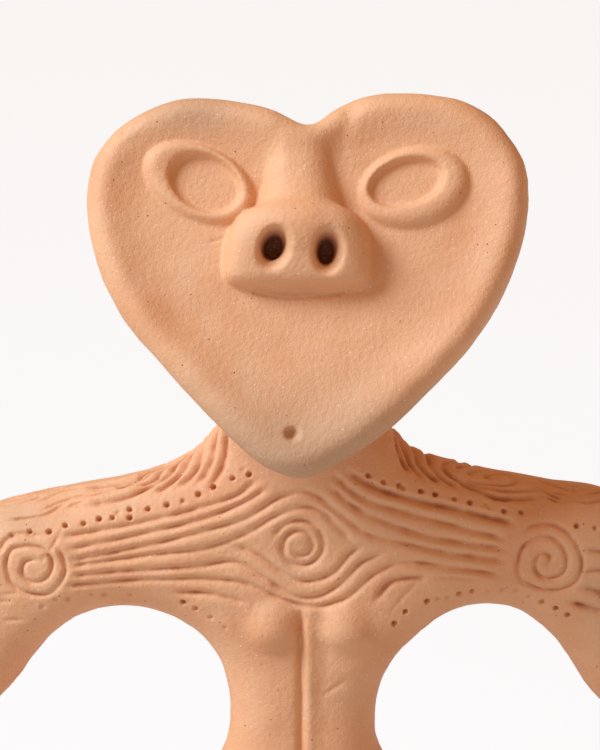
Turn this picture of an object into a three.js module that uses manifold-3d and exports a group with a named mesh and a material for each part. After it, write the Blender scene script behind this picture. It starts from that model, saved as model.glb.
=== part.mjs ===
// A heart-shaped dogu: a hollow-cheeked heart face on a flat, bow-legged clay figure.
// Millimetres, +Z up, soles on z = 0, the face towards -Y.
import * as THREE from 'three';
import Module from 'manifold-3d';

// Height from the soles to the top of the heart. The outlines below are drawn in units of their
// own, close to millimetres, and are scaled to this height.
const HEIGHT = 305;

// The modeller's tools: lines are cut with a pointed spatula, pits with a split reed.
const GROOVE_WIDTH = 1.5;
const GROOVE_DEPTH = 0.9;
const DEEP_GROOVE = 1.35;
const PIT_DIAMETER = 1.9;
const PIT_DEPTH = 1.3;
const MOUTH_DIAMETER = 4.8;
const MOUTH_DEPTH = 2.8;
const NOSTRIL_DEPTH = 7;

// The carving is laid out on a sheet tipped back by this angle and pressed straight on the clay.
const SHEET_TILT = 12;

// The face leans back by this angle about its chin.
const FACE_TILT = 20;
const CHIN = [0, -48, 209.5];
const HEART_CENTRE = [0, 54];
const FACE_THICKNESS = 15;
const RIM_WIDTH = 5.5;
const RIM_ROUND = 4.2;
const DISH_DEPTH = 4.4;
const DISH_SLOPE = 12;

// How finely round forms are cut into flats.
const BODY_FLATS = 16;
const ARM_FLATS = 20;
const LEG_FLATS = 20;
const FACE_FLATS = 44;
const COIL_FLATS = 16;
const SPIRAL_FLATS = 8;
const GROOVE_STEP = 7.2;

// The heart's edge in the plane of the face, across and up from the chin.
const HEART = [
  [1.6, 95.8], [8.5, 99.8], [17.7, 103.4], [32, 104.2], [44, 102], [52.2, 96.8], [59.6, 85.4],
  [60.8, 71.8], [56, 54], [47.6, 38.6], [36.4, 25.8], [22, 12], [10.4, 4], [0, 0],
  [-8.5, 2.2], [-20.4, 11.6], [-33.4, 25.2], [-45.8, 39.8], [-53.2, 52.6], [-58.3, 70.8],
  [-56.3, 86.2], [-47.6, 96.5], [-34.8, 102.2], [-21, 102.6], [-8.5, 99.8],
];

// Eye coils: centre, half sizes of the coil's middle line, turn, and how thick the clay is.
const EYES = [
  { centre: [-27.2, 78.9], across: 13.2, up: 8.9, turn: -30, thick: 2.4, swell: 1.1, swellAt: 150 },
  { centre: [29.2, 77.4], across: 13.0, up: 8.4, turn: 15, thick: 2.4, swell: 0.8, swellAt: 0 },
];
const EYE_RISE = 3.6;

// The nose from brow to tip: how far up, its left and right edge, and its rise.
const NOSE = [
  { up: 95.5, left: -2.5, right: 4.6, rise: 1 },
  { up: 92.5, left: -6, right: 5.2, rise: 4.4 },
  { up: 86, left: -8, right: 6, rise: 5.8 },
  { up: 76, left: -10, right: 8.2, rise: 7 },
  { up: 69.3, left: -15.8, right: 13.6, rise: 8.8 },
  { up: 64, left: -19.6, right: 17.8, rise: 10.6 },
  { up: 57.5, left: -21.2, right: 19.2, rise: 12 },
  { up: 53.6, left: -20.4, right: 18.8, rise: 11.4 },
  { up: 51, left: -18, right: 16.5, rise: 7 },
  { up: 50, left: -16, right: 15, rise: 1 },
];
const NOSTRILS = [
  { centre: [-7.6, 59.6], across: 4.2, up: 5.4, turn: -24 },
  { centre: [6.7, 58.9], across: 3.7, up: 5.9, turn: -8 },
];
const MOUTH = [-2.9, 10.8];

// Arms and shoulders from tip to tip: upper edge, lower edge, half the depth.
const ARMS = [
  { upper: [-108, 143], lower: [-94, 130], deep: 10 },
  { upper: [-110.5, 152], lower: [-88, 130.5], deep: 13 },
  { upper: [-106.5, 167], lower: [-81.5, 136.5], deep: 14.5 },
  { upper: [-97, 181.5], lower: [-74.8, 147], deep: 15 },
  { upper: [-83.3, 190], lower: [-67.5, 155], deep: 15 },
  { upper: [-64, 194.4], lower: [-58, 159.8], deep: 15 },
  { upper: [-46.5, 198.2], lower: [-48, 161.2], deep: 15 },
  { upper: [-34, 201.6], lower: [-36, 160], deep: 15 },
  { upper: [-22, 208], lower: [-24, 158], deep: 15 },
  { upper: [0, 210], lower: [0, 156], deep: 15.5 },
  { upper: [23, 208], lower: [24, 158], deep: 15 },
  { upper: [34, 203.4], lower: [37, 159.6], deep: 15 },
  { upper: [48.4, 200], lower: [50, 161.4], deep: 15 },
  { upper: [66, 196.4], lower: [60, 159.8], deep: 15 },
  { upper: [85, 193], lower: [69, 152.5], deep: 15 },
  { upper: [98.5, 183], lower: [76, 142.5], deep: 15 },
  { upper: [107.5, 167.5], lower: [82.5, 134], deep: 14.5 },
  { upper: [111, 152], lower: [89, 128.5], deep: 13 },
  { upper: [108.5, 143], lower: [95, 128.5], deep: 10 },
];

// The trunk upwards from inside the hips: left, right, front and back at each height.
const TRUNK = [
  { up: 86, left: -52, right: 52, front: -18, back: 16 },
  { up: 100, left: -45, right: 45, front: -17.5, back: 15.5 },
  { up: 107, left: -32, right: 32, front: -16.5, back: 14.5 },
  { up: 113, left: -25, right: 25, front: -15.5, back: 13.5 },
  { up: 121, left: -21.5, right: 20.8, front: -14.4, back: 12.6 },
  { up: 132, left: -20.4, right: 20.5, front: -14, back: 12.4 },
  { up: 139, left: -21.3, right: 22.4, front: -14, back: 12.6 },
  { up: 146, left: -23.6, right: 26, front: -14.2, back: 13 },
  { up: 152.5, left: -28.5, right: 32, front: -14.6, back: 13.4 },
  { up: 157.5, left: -35, right: 38, front: -14.8, back: 13.8 },
  { up: 163, left: -46, right: 48, front: -15, back: 14 },
  { up: 188, left: -46, right: 48, front: -14.6, back: 14 },
];

// The neck from inside the shoulders to the back of the face: centre, half width, half depth.
const NECK = [
  { at: [0, 0, 190], wide: 27, deep: 14 },
  { at: [0, 0, 203], wide: 24, deep: 13.6 },
  { at: [0, -2.5, 214], wide: 22, deep: 13 },
  { at: [0, -7, 228], wide: 22, deep: 13 },
  { at: [0, -12.5, 246], wide: 21, deep: 12 },
  { at: [0, -17, 262], wide: 17, deep: 9 },
  { at: [0, -20, 272], wide: 10, deep: 4 },
];

// Legs and hips from the left sole to the middle, repeated to the right.
const LEG = [
  { upper: [-76, 0], lower: [-38.5, 0], deep: 22 },
  { upper: [-78.5, 2.6], lower: [-36.5, 2.6], deep: 24.5 },
  { upper: [-78, 11], lower: [-38, 10], deep: 24 },
  { upper: [-77, 24], lower: [-41, 21], deep: 21 },
  { upper: [-82, 44], lower: [-40, 37], deep: 20.5 },
  { upper: [-85.5, 66], lower: [-33, 51], deep: 22 },
  { upper: [-81, 87], lower: [-23, 58.5], deep: 22.5 },
  { upper: [-64, 102], lower: [-12.5, 61.5], deep: 21 },
  { upper: [-36, 110], lower: [-6, 62.5], deep: 19.5 },
  { upper: [0, 114], lower: [0, 62.5], deep: 18.5 },
];

// Breasts and the ridge of clay between them and the navel, laid out on the sheet.
const BREASTS = [
  { centre: [-7.8, 149.6], radius: 6.8, rise: 3.2 },
  { centre: [13.4, 149.8], radius: 6.8, rise: 3.2 },
];
const RIDGE = { line: [[1.2, 158], [1.2, 140], [0.6, 112], [0.4, 92]], half: 2.6, rise: 1.6 };
const NAVEL = { centre: [0.4, 86], radius: 4.6, rise: 2.2 };

// Spirals on the sheet: centre, first and last radius, start and end angle, and how flat.
const SPIRALS = [
  { centre: [-0.8, 174.2], radii: [2.2, 7.6], angles: [210, 885], flat: 1 },
  { centre: [-72.6, 167.7], radii: [2.6, 8.8], angles: [90, 860], flat: 0.86 },
  { centre: [67.7, 168.6], radii: [2.3, 10.8], angles: [60, 1200], flat: 0.96 },
  { centre: [-57, 75], radii: [4, 15], angles: [0, 720], flat: 1 },
  { centre: [57, 75], radii: [4, 15], angles: [180, -540], flat: 1 },
];

// A spiral on top of the right shoulder, laid out as seen from above.
const SHOULDER_SPIRAL = { centre: [53.6, -3.5], radii: [3, 9.4], angles: [180, 800], flat: 0.9 };

// Lines cut across the chest on the sheet, each through the points that its bends need.
const CHEST_LINES = [
  { through: [[-66.8, 176.4], [-47, 180], [-28.3, 184.6], [-18, 188.2], [-12.2, 192.6]] },
  { through: [[-65.2, 172.8], [-46, 177], [-28.3, 181.3], [-16.5, 186], [-9.4, 190.4]] },
  { through: [[-64.4, 169.8], [-47, 173.2], [-28.3, 177.8], [-15.7, 181.8], [-5.8, 187.7], [1.4, 188.8],
    [9.9, 183.2], [18.4, 177], [26.5, 175], [44, 171.6], [56, 169.8]] },
  { through: [[-64.4, 168.3], [-42, 171.4], [-26.8, 173.4], [-15.7, 177.5], [-8, 182.1], [0, 184.8],
    [5.8, 183], [11.5, 177.4], [13.8, 175.4]] },
  { through: [[-18.7, 174.2], [-11.3, 171], [-5.8, 166.8], [0, 164.2], [7.7, 166.2], [13.2, 172],
    [16.6, 174.4]] },
  { through: [[-64, 165.7], [-42, 167.4], [-28.3, 168.4], [-16.5, 169.4], [-10, 164.8], [-3, 160.4],
    [4.1, 160], [10.5, 163.6], [16, 169.2], [23.1, 172.6]] },
  { through: [[-66, 162.9], [-42, 164.5], [-26.8, 164.8], [-15.7, 163.6], [-6, 159.4], [2.8, 157.2],
    [11.8, 159.6], [20.4, 166.5], [27.2, 169.4], [44, 167.6], [55.4, 165.5]] },
  { through: [[-36, 161], [-26, 160.8], [-15.5, 158.2]] },
  { through: [[12, 194.8], [20.4, 190], [28.6, 187.5], [41.5, 184.4], [58.6, 180.2]], deep: true },
  { through: [[8.3, 194.2], [14.6, 188.3], [21, 185.6], [32, 182.4], [55.6, 176]] },
  { through: [[7.2, 190.6], [14.6, 184.6], [22, 181], [34, 177], [56, 173.2]] },
  { through: [[19.8, 158.9], [23.9, 163.6], [28, 164.8], [35, 165.4], [48.7, 165]], deep: true },
  { through: [[76.7, 162], [81.7, 161], [88, 157.5], [93, 151]], deep: true },
];

// Short cuts fanning over each shoulder on the sheet: start, end and how far each bows out.
const SHOULDER_CUTS = [
  { from: [-21.6, 203.6], to: [-26, 190.2], bow: 1.6 },
  { from: [-25.2, 200.6], to: [-29.2, 191.2], bow: 1.2 },
  { from: [-28.6, 198.6], to: [-35, 189.8], bow: 1.5 },
  { from: [-32, 197], to: [-41.8, 188.8], bow: 1.2 },
  { from: [-35.6, 195.8], to: [-55.8, 185.8], bow: 1.2 },
  { from: [-41.8, 194.4], to: [-52.3, 189.9], bow: 0.5 },
  { from: [-47.7, 193.6], to: [-72, 188], bow: 0.6 },
  { from: [-47.7, 189.8], to: [-80, 184.5], bow: 0.4 },
  { from: [25.4, 201.8], to: [28.9, 193.4], bow: -1 },
  { from: [28.3, 201], to: [33.3, 192], bow: -1.1 },
  { from: [31.5, 199.4], to: [38.6, 190.9], bow: -1.2 },
  { from: [35, 197.6], to: [44, 189.6], bow: -1.2 },
  { from: [38.8, 196.6], to: [54.2, 187.4], bow: -1.4 },
];

// Rows of pits that border the lines, on the sheet.
const PIT_ROWS = [
  { through: [[-80.6, 176.9], [-65.4, 179.7], [-47.6, 182.1], [-28.9, 188.5], [-14.8, 193.8]], pits: 15 },
  { through: [[-68.5, 159.5], [-58, 160.7], [-40, 160.2], [-29.7, 156.6], [-21.7, 151.3]], pits: 11 },
  { through: [[17.9, 193.7], [32.5, 189.4], [46, 186.2], [60, 183.5], [80.6, 179.1]], pits: 14 },
  { through: [[25.2, 152.7], [31.6, 158], [43.2, 161], [54.4, 162], [66, 158.2], [73.4, 154.6]], pits: 13 },
];

// The same work continued in a plainer hand over the hips and thighs, mirrored left to right.
const HIP_LINES = [
  { through: [[-3.5, 106], [-18, 101], [-36, 95], [-52, 92.5]] },
  { through: [[-3.5, 76], [-18, 73], [-34, 68], [-44, 64]] },
  { through: [[-48, 29], [-59, 27.4], [-70, 29.6]] },
];

// The lobes of the heart are the highest points, where the rim starts to round off.
const lean = THREE.MathUtils.degToRad(FACE_TILT);
const lobeTop = CHIN[2] + Math.max(...HEART.map(([, up]) => up)) * Math.cos(lean);
const scale = (HEIGHT + RIM_ROUND * Math.sin(lean)) / lobeTop;
const wasm = await Module();
wasm.setup();
const { Manifold, Mesh } = wasm;

const radians = THREE.MathUtils.degToRad;
const lerp = THREE.MathUtils.lerp;

// A power of a sine or cosine that keeps its sign, which rounds a rectangle's corners.
function rounded(value, power) {
  return Math.sign(value) * Math.abs(value) ** power;
}

// A smooth curve through points given as numbers.
function curveThrough(points, closed = false) {
  const knots = points.map((p) => new THREE.Vector3(p[0], p[1], p[2] ?? 0).multiplyScalar(scale));
  return new THREE.CatmullRomCurve3(knots, closed, 'centripetal');
}

// A solid from rings of equal length, each end closed by a fan about its middle.
function loft(rings) {
  const count = rings[0].length;
  const points = rings.flat();
  const index = [];
  for (let r = 0; r + 1 < rings.length; r += 1) {
    for (let i = 0; i < count; i += 1) {
      const a = r * count + i;
      const b = r * count + ((i + 1) % count);
      index.push(a, b, b + count, a, b + count, a + count);
    }
  }
  for (const [ring, flip] of [[0, true], [rings.length - 1, false]]) {
    const middle = points.length;
    const centre = rings[ring].reduce((sum, p) => sum.add(p), new THREE.Vector3());
    points.push(centre.divideScalar(count));
    for (let i = 0; i < count; i += 1) {
      const a = ring * count + i;
      const b = ring * count + ((i + 1) % count);
      index.push(middle, flip ? b : a, flip ? a : b);
    }
  }
  return geometryOf(points, index);
}

// A ring-shaped solid from rings that come back to the first.
function hoop(rings) {
  const count = rings[0].length;
  const index = [];
  for (let r = 0; r < rings.length; r += 1) {
    for (let i = 0; i < count; i += 1) {
      const next = ((r + 1) % rings.length) * count;
      const j = (i + 1) % count;
      index.push(r * count + i, r * count + j, next + j, r * count + i, next + j, next + i);
    }
  }
  return geometryOf(rings.flat(), index);
}

function geometryOf(points, index) {
  const geometry = new THREE.BufferGeometry().setFromPoints(points);
  geometry.setIndex(index);
  return geometry;
}

// The closed solid of an indexed geometry, turned right side out.
function solidOf(geometry) {
  const triVerts = Uint32Array.from(geometry.index.array);
  const vertProperties = Float32Array.from(geometry.attributes.position.array);
  const corner = (i) => new THREE.Vector3().fromArray(vertProperties, triVerts[i] * 3);
  let volume = 0;
  for (let i = 0; i < triVerts.length; i += 3) {
    volume += corner(i).dot(corner(i + 1).cross(corner(i + 2)));
  }
  if (volume < 0) {
    triVerts.reverse();
  }
  return Manifold.ofMesh(new Mesh({ numProp: 3, vertProperties, triVerts }));
}

function geometryOfSolid(solid) {
  const mesh = solid.getMesh();
  const geometry = new THREE.BufferGeometry();
  geometry.setAttribute('position', new THREE.BufferAttribute(mesh.vertProperties, 3));
  geometry.setIndex(new THREE.BufferAttribute(mesh.triVerts, 1));
  return geometry;
}

// Limbs: sections spanned between an upper and a lower edge that both run in the XZ plane.
function limb(stations, steps) {
  const upper = curveThrough(stations.map((s) => [s.upper[0], 0, s.upper[1]]));
  const lower = curveThrough(stations.map((s) => [s.lower[0], 0, s.lower[1]]));
  const rings = [];
  for (let i = 0; i <= steps; i += 1) {
    const t = i / steps;
    const place = t * (stations.length - 1);
    const before = Math.min(Math.floor(place), stations.length - 2);
    const deep = lerp(stations[before].deep, stations[before + 1].deep, place - before) * scale;
    const top = upper.getPoint(t);
    const bottom = lower.getPoint(t);
    const middle = top.clone().add(bottom).multiplyScalar(0.5);
    const half = top.clone().sub(middle);
    rings.push(Array.from({ length: BODY_FLATS }, (_, k) => {
      const angle = (k / BODY_FLATS) * 2 * Math.PI;
      const point = middle.clone().addScaledVector(half, rounded(Math.cos(angle), 0.82));
      point.y += deep * rounded(Math.sin(angle), 0.82);
      return point;
    }));
  }
  return solidOf(loft(rings));
}

// A flat rounded section about the trunk's or neck's own middle.
function section(left, right, front, back, up, power) {
  return Array.from({ length: BODY_FLATS }, (_, k) => {
    const angle = (k / BODY_FLATS) * 2 * Math.PI;
    const x = (left + right) / 2 + ((right - left) / 2) * rounded(Math.cos(angle), power);
    const y = (front + back) / 2 + ((back - front) / 2) * rounded(Math.sin(angle), power);
    return new THREE.Vector3(x, y, up).multiplyScalar(scale);
  });
}

function trunk() {
  return solidOf(loft(TRUNK.map((s) => section(s.left, s.right, s.front, s.back, s.up, 0.8))));
}

function neck() {
  return solidOf(loft(NECK.map(({ at: [x, y, z], wide, deep }) => (
    section(x - wide, x + wide, y - deep, y + deep, z, 0.95)))));
}

// A point given in the plane of the face: across, up from the chin, and out towards the viewer.
const faceUp = new THREE.Vector3(0, Math.sin(lean), Math.cos(lean));
const faceOut = new THREE.Vector3(0, -Math.cos(lean), Math.sin(lean));
function onFace(across, up, out) {
  const point = new THREE.Vector3(...CHIN).multiplyScalar(scale);
  point.x += across;
  return point.addScaledVector(faceUp, up).addScaledVector(faceOut, out);
}

// The heart plate: rings about its centre from the back, round the rim and into the dish.
function facePlate() {
  const edge = curveThrough(HEART, true).getSpacedPoints(FACE_FLATS).slice(0, -1);
  const centre = new THREE.Vector3(...HEART_CENTRE, 0).multiplyScalar(scale);
  const thick = FACE_THICKNESS;
  const floor = -DISH_DEPTH;
  const profile = [
    { inset: RIM_ROUND * 1.6, out: -thick },
    { inset: RIM_ROUND * 0.5, out: -thick + RIM_ROUND * 0.5 },
    { inset: 0, out: -thick + RIM_ROUND * 1.5 },
    { inset: 0, out: -RIM_ROUND },
    { inset: RIM_ROUND * 0.3, out: -RIM_ROUND * 0.3 },
    { inset: RIM_WIDTH * 0.6, out: 0 },
    { inset: RIM_WIDTH, out: floor * 0.16 },
    { inset: RIM_WIDTH + DISH_SLOPE * 0.5, out: floor * 0.72 },
    { inset: RIM_WIDTH + DISH_SLOPE, out: floor },
  ];
  return solidOf(loft(profile.map(({ inset, out }) => edge.map((point) => {
    const spoke = point.clone().sub(centre);
    spoke.setLength(spoke.length() - inset).add(centre);
    return onFace(spoke.x, spoke.y, out);
  }))));
}

// A coil of clay pressed down round each eye.
function eyeCoil({ centre, across, up, turn, thick, swell, swellAt }) {
  const rings = [];
  for (let i = 0; i < COIL_FLATS; i += 1) {
    const angle = (i / COIL_FLATS) * 2 * Math.PI;
    const out = new THREE.Vector2(Math.cos(angle) * across, Math.sin(angle) * up);
    const away = new THREE.Vector2(Math.cos(angle) / across, Math.sin(angle) / up).normalize();
    out.rotateAround(new THREE.Vector2(), radians(turn));
    away.rotateAround(new THREE.Vector2(), radians(turn));
    const half = thick + swell * Math.max(0, Math.cos(angle - radians(swellAt)));
    rings.push([0, 1, 2, 3, 4, 5].map((k) => {
      const side = Math.cos((k / 5) * Math.PI) * half;
      const rise = k === 0 || k === 5 ? -DISH_DEPTH - 2 : -DISH_DEPTH + EYE_RISE * Math.sin((k / 5) * Math.PI);
      const x = (centre[0] + out.x + away.x * side) * scale;
      const y = (centre[1] + out.y + away.y * side) * scale;
      return onFace(x, y, rise);
    }));
  }
  return solidOf(hoop(rings));
}

function nose() {
  const flats = 10;
  return solidOf(loft(NOSE.map(({ up, left, right, rise }) => (
    Array.from({ length: flats + 1 }, (_, k) => {
      const angle = (k / flats) * Math.PI;
      const x = (left + right) / 2 + ((right - left) / 2) * rounded(Math.cos(angle), 0.9);
      const base = k === 0 || k === flats ? -DISH_DEPTH - 2 : -DISH_DEPTH;
      return onFace(x * scale, up * scale, base + rise * scale * rounded(Math.sin(angle), 0.8));
    })))));
}

// A cone that narrows into the face, for a nostril or the mouth.
function faceHole([x, up], across, high, turn, top, deep) {
  const ring = (share, out) => Array.from({ length: 10 }, (_, k) => {
    const angle = (k / 10) * 2 * Math.PI;
    const point = new THREE.Vector2(Math.cos(angle) * across, Math.sin(angle) * high);
    point.multiplyScalar(share).rotateAround(new THREE.Vector2(), radians(turn));
    return onFace((x + point.x) * scale, (up + point.y) * scale, out);
  });
  return solidOf(loft([ring(1.5, top + 3), ring(0.95, top - 1), ring(0.4, top - deep)]));
}

// The tilted sheet: where a straight press from it meets the clay, and the clay's direction there.
const tilt = radians(SHEET_TILT);
const sheetUp = new THREE.Vector3(0, Math.sin(tilt), Math.cos(tilt));
const press = new THREE.Vector3(0, Math.cos(tilt), -Math.sin(tilt));
function presser(solid, way = press, up = sheetUp) {
  const mesh = new THREE.Mesh(geometryOfSolid(solid), new THREE.MeshBasicMaterial({ side: THREE.DoubleSide }));
  const ray = new THREE.Raycaster();
  return (u, v) => {
    const start = new THREE.Vector3(u, 0, 0).addScaledVector(up, v).addScaledVector(way, -HEIGHT);
    ray.set(start, way);
    const [hit] = ray.intersectObject(mesh);
    return hit ? { point: hit.point, normal: hit.face.normal } : null;
  };
}

// A groove's cutter: a V swept along the clay, narrowed at both ends.
function grooveCutter(path, deepShare = 1) {
  const rings = [];
  const depth = GROOVE_DEPTH * deepShare;
  const half = GROOVE_WIDTH / 2;
  for (let i = 0; i < path.length; i += 1) {
    const { point, normal } = path[i];
    const ahead = path[Math.min(i + 1, path.length - 1)].point;
    const behind = path[Math.max(i - 1, 0)].point;
    const along = ahead.clone().sub(behind).normalize();
    const across = along.cross(normal).normalize();
    const share = i === 0 || i === path.length - 1 ? 0.35 : 1;
    const above = depth * 1.3;
    const spread = half * share * (1 + above / depth);
    rings.push([
      point.clone().addScaledVector(normal, -depth * share),
      point.clone().addScaledVector(normal, above).addScaledVector(across, spread),
      point.clone().addScaledVector(normal, above).addScaledVector(across, -spread),
    ]);
  }
  return solidOf(loft(rings));
}

// The clay under each point, the normals eased along the line so that the cutter turns smoothly.
function trace(points, pressOn) {
  const hits = points.map((p) => pressOn(p.x, p.y)).filter((hit) => hit !== null);
  return hits.map((hit, i) => {
    const normal = new THREE.Vector3();
    for (const near of hits.slice(Math.max(0, i - 1), i + 2)) {
      normal.add(near.normal);
    }
    return { point: hit.point, normal: normal.normalize() };
  });
}

function lineCutter({ through, deep }, pressOn) {
  const curve = curveThrough(through);
  const steps = Math.max(2, Math.round(curve.getLength() / GROOVE_STEP));
  return grooveCutter(trace(curve.getSpacedPoints(steps), pressOn), deep ? DEEP_GROOVE : 1);
}

function spiralCutter({ centre, radii, angles, flat }, pressOn) {
  const steps = Math.round((Math.abs(angles[1] - angles[0]) / 360) * SPIRAL_FLATS);
  const points = Array.from({ length: steps + 1 }, (_, i) => {
    const radius = lerp(radii[0], radii[1], i / steps);
    const angle = radians(lerp(angles[0], angles[1], i / steps));
    const x = centre[0] + radius * Math.cos(angle);
    const y = centre[1] + radius * flat * Math.sin(angle);
    return new THREE.Vector3(x, y, 0).multiplyScalar(scale);
  });
  return grooveCutter(trace(points, pressOn));
}

function cutCutter({ from, to, bow }, pressOn) {
  const middle = [(from[0] + to[0]) / 2 - bow * 0.6, (from[1] + to[1]) / 2 - Math.abs(bow)];
  return lineCutter({ through: [from, middle, to] }, pressOn);
}

// A pit's cutter: a small pyramid pressed in square to the clay.
function pitCutter({ point, normal }) {
  const corners = [];
  const side = new THREE.Vector3(1, 0, 0).cross(normal).normalize();
  const other = side.clone().cross(normal);
  const radius = PIT_DIAMETER * 0.75;
  for (let k = 0; k < 4; k += 1) {
    const angle = (k / 4) * 2 * Math.PI;
    corners.push(point.clone().addScaledVector(normal, PIT_DEPTH * 0.5)
      .addScaledVector(side, radius * Math.cos(angle)).addScaledVector(other, radius * Math.sin(angle)));
  }
  const tip = point.clone().addScaledVector(normal, -PIT_DEPTH);
  return solidOf(geometryOf([...corners, tip],
    [0, 1, 4, 1, 2, 4, 2, 3, 4, 3, 0, 4, 2, 1, 0, 3, 2, 0]));
}

function pitRow({ through, pits }, pressOn) {
  return trace(curveThrough(through).getSpacedPoints(pits - 1), pressOn).map(pitCutter);
}

function mirrored(row) {
  return { ...row, through: row.through.map(([x, z]) => [-x, z]) };
}

// A low dome of clay on the front of the body.
function dome({ centre, radius, rise }, pressOn) {
  const { point } = pressOn(centre[0] * scale, centre[1] * scale);
  const rings = [];
  for (let r = 1; r <= 5; r += 1) {
    const angle = (r / 5) * (Math.PI * 0.62);
    rings.push(Array.from({ length: 12 }, (_, k) => {
      const around = (k / 12) * 2 * Math.PI;
      const spread = radius * Math.sin(angle) * scale;
      return new THREE.Vector3(
        point.x + spread * Math.cos(around),
        point.y - rise * scale * Math.cos(angle) * 1,
        point.z + spread * Math.sin(around),
      );
    }));
  }
  return solidOf(loft([rings[4], rings[3], rings[2], rings[1], rings[0]]));
}

function ridge({ line, half, rise }, pressOn) {
  const path = trace(curveThrough(line).getSpacedPoints(14), pressOn);
  return solidOf(loft(path.map(({ point }, i) => {
    const ends = Math.min(1, i / 2, (path.length - 1 - i) / 3);
    const high = Math.max(0.1, rise * ends) * scale;
    return [-1.5, -0.75, 0, 0.75, 1.5].map((share) => new THREE.Vector3(
      point.x + share * half * scale * 0.67,
      point.y - high * (1 - (share / 1.5) ** 2) + (Math.abs(share) === 1.5 ? 0.4 : 0),
      point.z,
    )).concat([new THREE.Vector3(point.x, point.y + 3, point.z)]);
  })));
}

const LEGS = [...LEG, ...LEG.slice(0, -1).reverse().map(({ upper, lower, deep }) => (
  { upper: [-upper[0], upper[1]], lower: [-lower[0], lower[1]], deep }))];

let body = Manifold.union([limb(ARMS, ARM_FLATS), limb(LEGS, LEG_FLATS), trunk(), neck()]);
const onBody = presser(body);
body = Manifold.union([
  body,
  ...BREASTS.map((breast) => dome(breast, onBody)),
  dome(NAVEL, onBody),
  ridge(RIDGE, onBody),
]);
const pressOn = presser(body);
const pressFromAbove = presser(body, new THREE.Vector3(0, 0, -1), new THREE.Vector3(0, 1, 0));

const mouthTop = -DISH_DEPTH + 0.3;
const nostrilTop = 6.5;
const head = Manifold.union([facePlate(), ...EYES.map(eyeCoil), nose()]).subtract(Manifold.union([
  ...NOSTRILS.map(({ centre, across, up, turn }) => (
    faceHole(centre, across, up, turn, nostrilTop, NOSTRIL_DEPTH))),
  faceHole(MOUTH, MOUTH_DIAMETER / 2, MOUTH_DIAMETER / 2, 0, mouthTop, MOUTH_DEPTH),
]));

const cutters = [
  ...SPIRALS.map((spiral) => spiralCutter(spiral, pressOn)),
  spiralCutter(SHOULDER_SPIRAL, pressFromAbove),
  ...CHEST_LINES.map((line) => lineCutter(line, pressOn)),
  ...SHOULDER_CUTS.map((cut) => cutCutter(cut, pressOn)),
  ...HIP_LINES.flatMap((line) => [lineCutter(line, pressOn), lineCutter(mirrored(line), pressOn)]),
  ...PIT_ROWS.flatMap((row) => pitRow(row, pressOn)),
];

// Where lines cross, a crumb of clay can come loose; only the figure itself is kept.
const [figure] = Manifold.union([body, head]).subtract(Manifold.union(cutters)).decompose()
  .sort((a, b) => b.volume() - a.volume());

const figurine = new THREE.Mesh(
  geometryOfSolid(figure).toNonIndexed(),
  new THREE.MeshStandardMaterial({ color: '#e8ae84', roughness: 0.85, metalness: 0 }),
);
figurine.name = 'heart_figurine';

// The origin is under the middle of the figure's box.
const middle = new THREE.Box3().setFromObject(figurine).getCenter(new THREE.Vector3());
figurine.position.set(-middle.x, -middle.y, 0);

const model = new THREE.Group();
model.add(figurine);
export default model;
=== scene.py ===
"""A heart-faced clay figurine in unglazed light terracotta, on a pale studio floor.

The figurine is worked out in the modeller's own units, close to millimetres: x to the right, y
away from the viewer, z up from the soles. Its skin starts as the zero level of a distance-like
function of the limbs, neck and head, is cut finer wherever the clay carries detail, and is then
pressed in and raised by the carving. At the end it is set to the frame's height and centre.
"""
import logging
import math
from collections.abc import Callable, Sequence
from dataclasses import dataclass, field
from enum import Enum

import bpy
import numpy as np
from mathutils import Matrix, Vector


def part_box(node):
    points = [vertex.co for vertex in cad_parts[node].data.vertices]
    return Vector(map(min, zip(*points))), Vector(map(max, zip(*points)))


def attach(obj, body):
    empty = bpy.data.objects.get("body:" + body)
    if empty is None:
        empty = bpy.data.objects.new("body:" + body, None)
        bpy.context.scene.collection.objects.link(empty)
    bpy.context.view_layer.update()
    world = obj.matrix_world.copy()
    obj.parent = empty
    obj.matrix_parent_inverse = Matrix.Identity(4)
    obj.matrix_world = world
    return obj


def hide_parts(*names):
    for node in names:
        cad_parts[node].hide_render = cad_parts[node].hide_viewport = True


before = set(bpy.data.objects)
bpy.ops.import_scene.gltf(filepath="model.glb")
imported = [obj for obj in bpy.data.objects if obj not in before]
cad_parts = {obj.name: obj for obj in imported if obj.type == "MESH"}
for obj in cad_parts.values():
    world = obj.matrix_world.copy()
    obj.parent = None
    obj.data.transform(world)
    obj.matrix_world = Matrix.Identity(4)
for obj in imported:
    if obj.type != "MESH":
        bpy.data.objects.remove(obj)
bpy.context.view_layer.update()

log = logging.getLogger("figurine")
Array = np.ndarray
Point = tuple[float, ...]
Colour = tuple[float, float, float]
Socket = bpy.types.NodeSocket
SEED = 7
TILT = math.radians(12.0)
STEEP = math.radians(52.0)
FRONT_UP = (0.0, math.sin(TILT), math.cos(TILT))
FRONT_PRESS = (0.0, math.cos(TILT), -math.sin(TILT))


def smooth(value: Array) -> Array:
    """Rise softly from 0 to 1 as value goes from 0 to 1, by 3t^2 - 2t^3."""
    t = np.clip(value, 0.0, 1.0)
    return t * t * (3.0 - 2.0 * t)


def join(a: Array, b: Array, soft: float) -> Array:
    """Join two distances as one body: the lesser, less h^2 soft / 4 where they are close."""
    h = np.clip(1.0 - np.abs(a - b) / soft, 0.0, 1.0)
    return np.minimum(a, b) - h * h * soft / 4.0


def over(a: Array, b: Array, soft: float) -> Array:
    """Keep the higher of two heights, eased where they meet."""
    return -join(-a, -b, soft)


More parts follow.
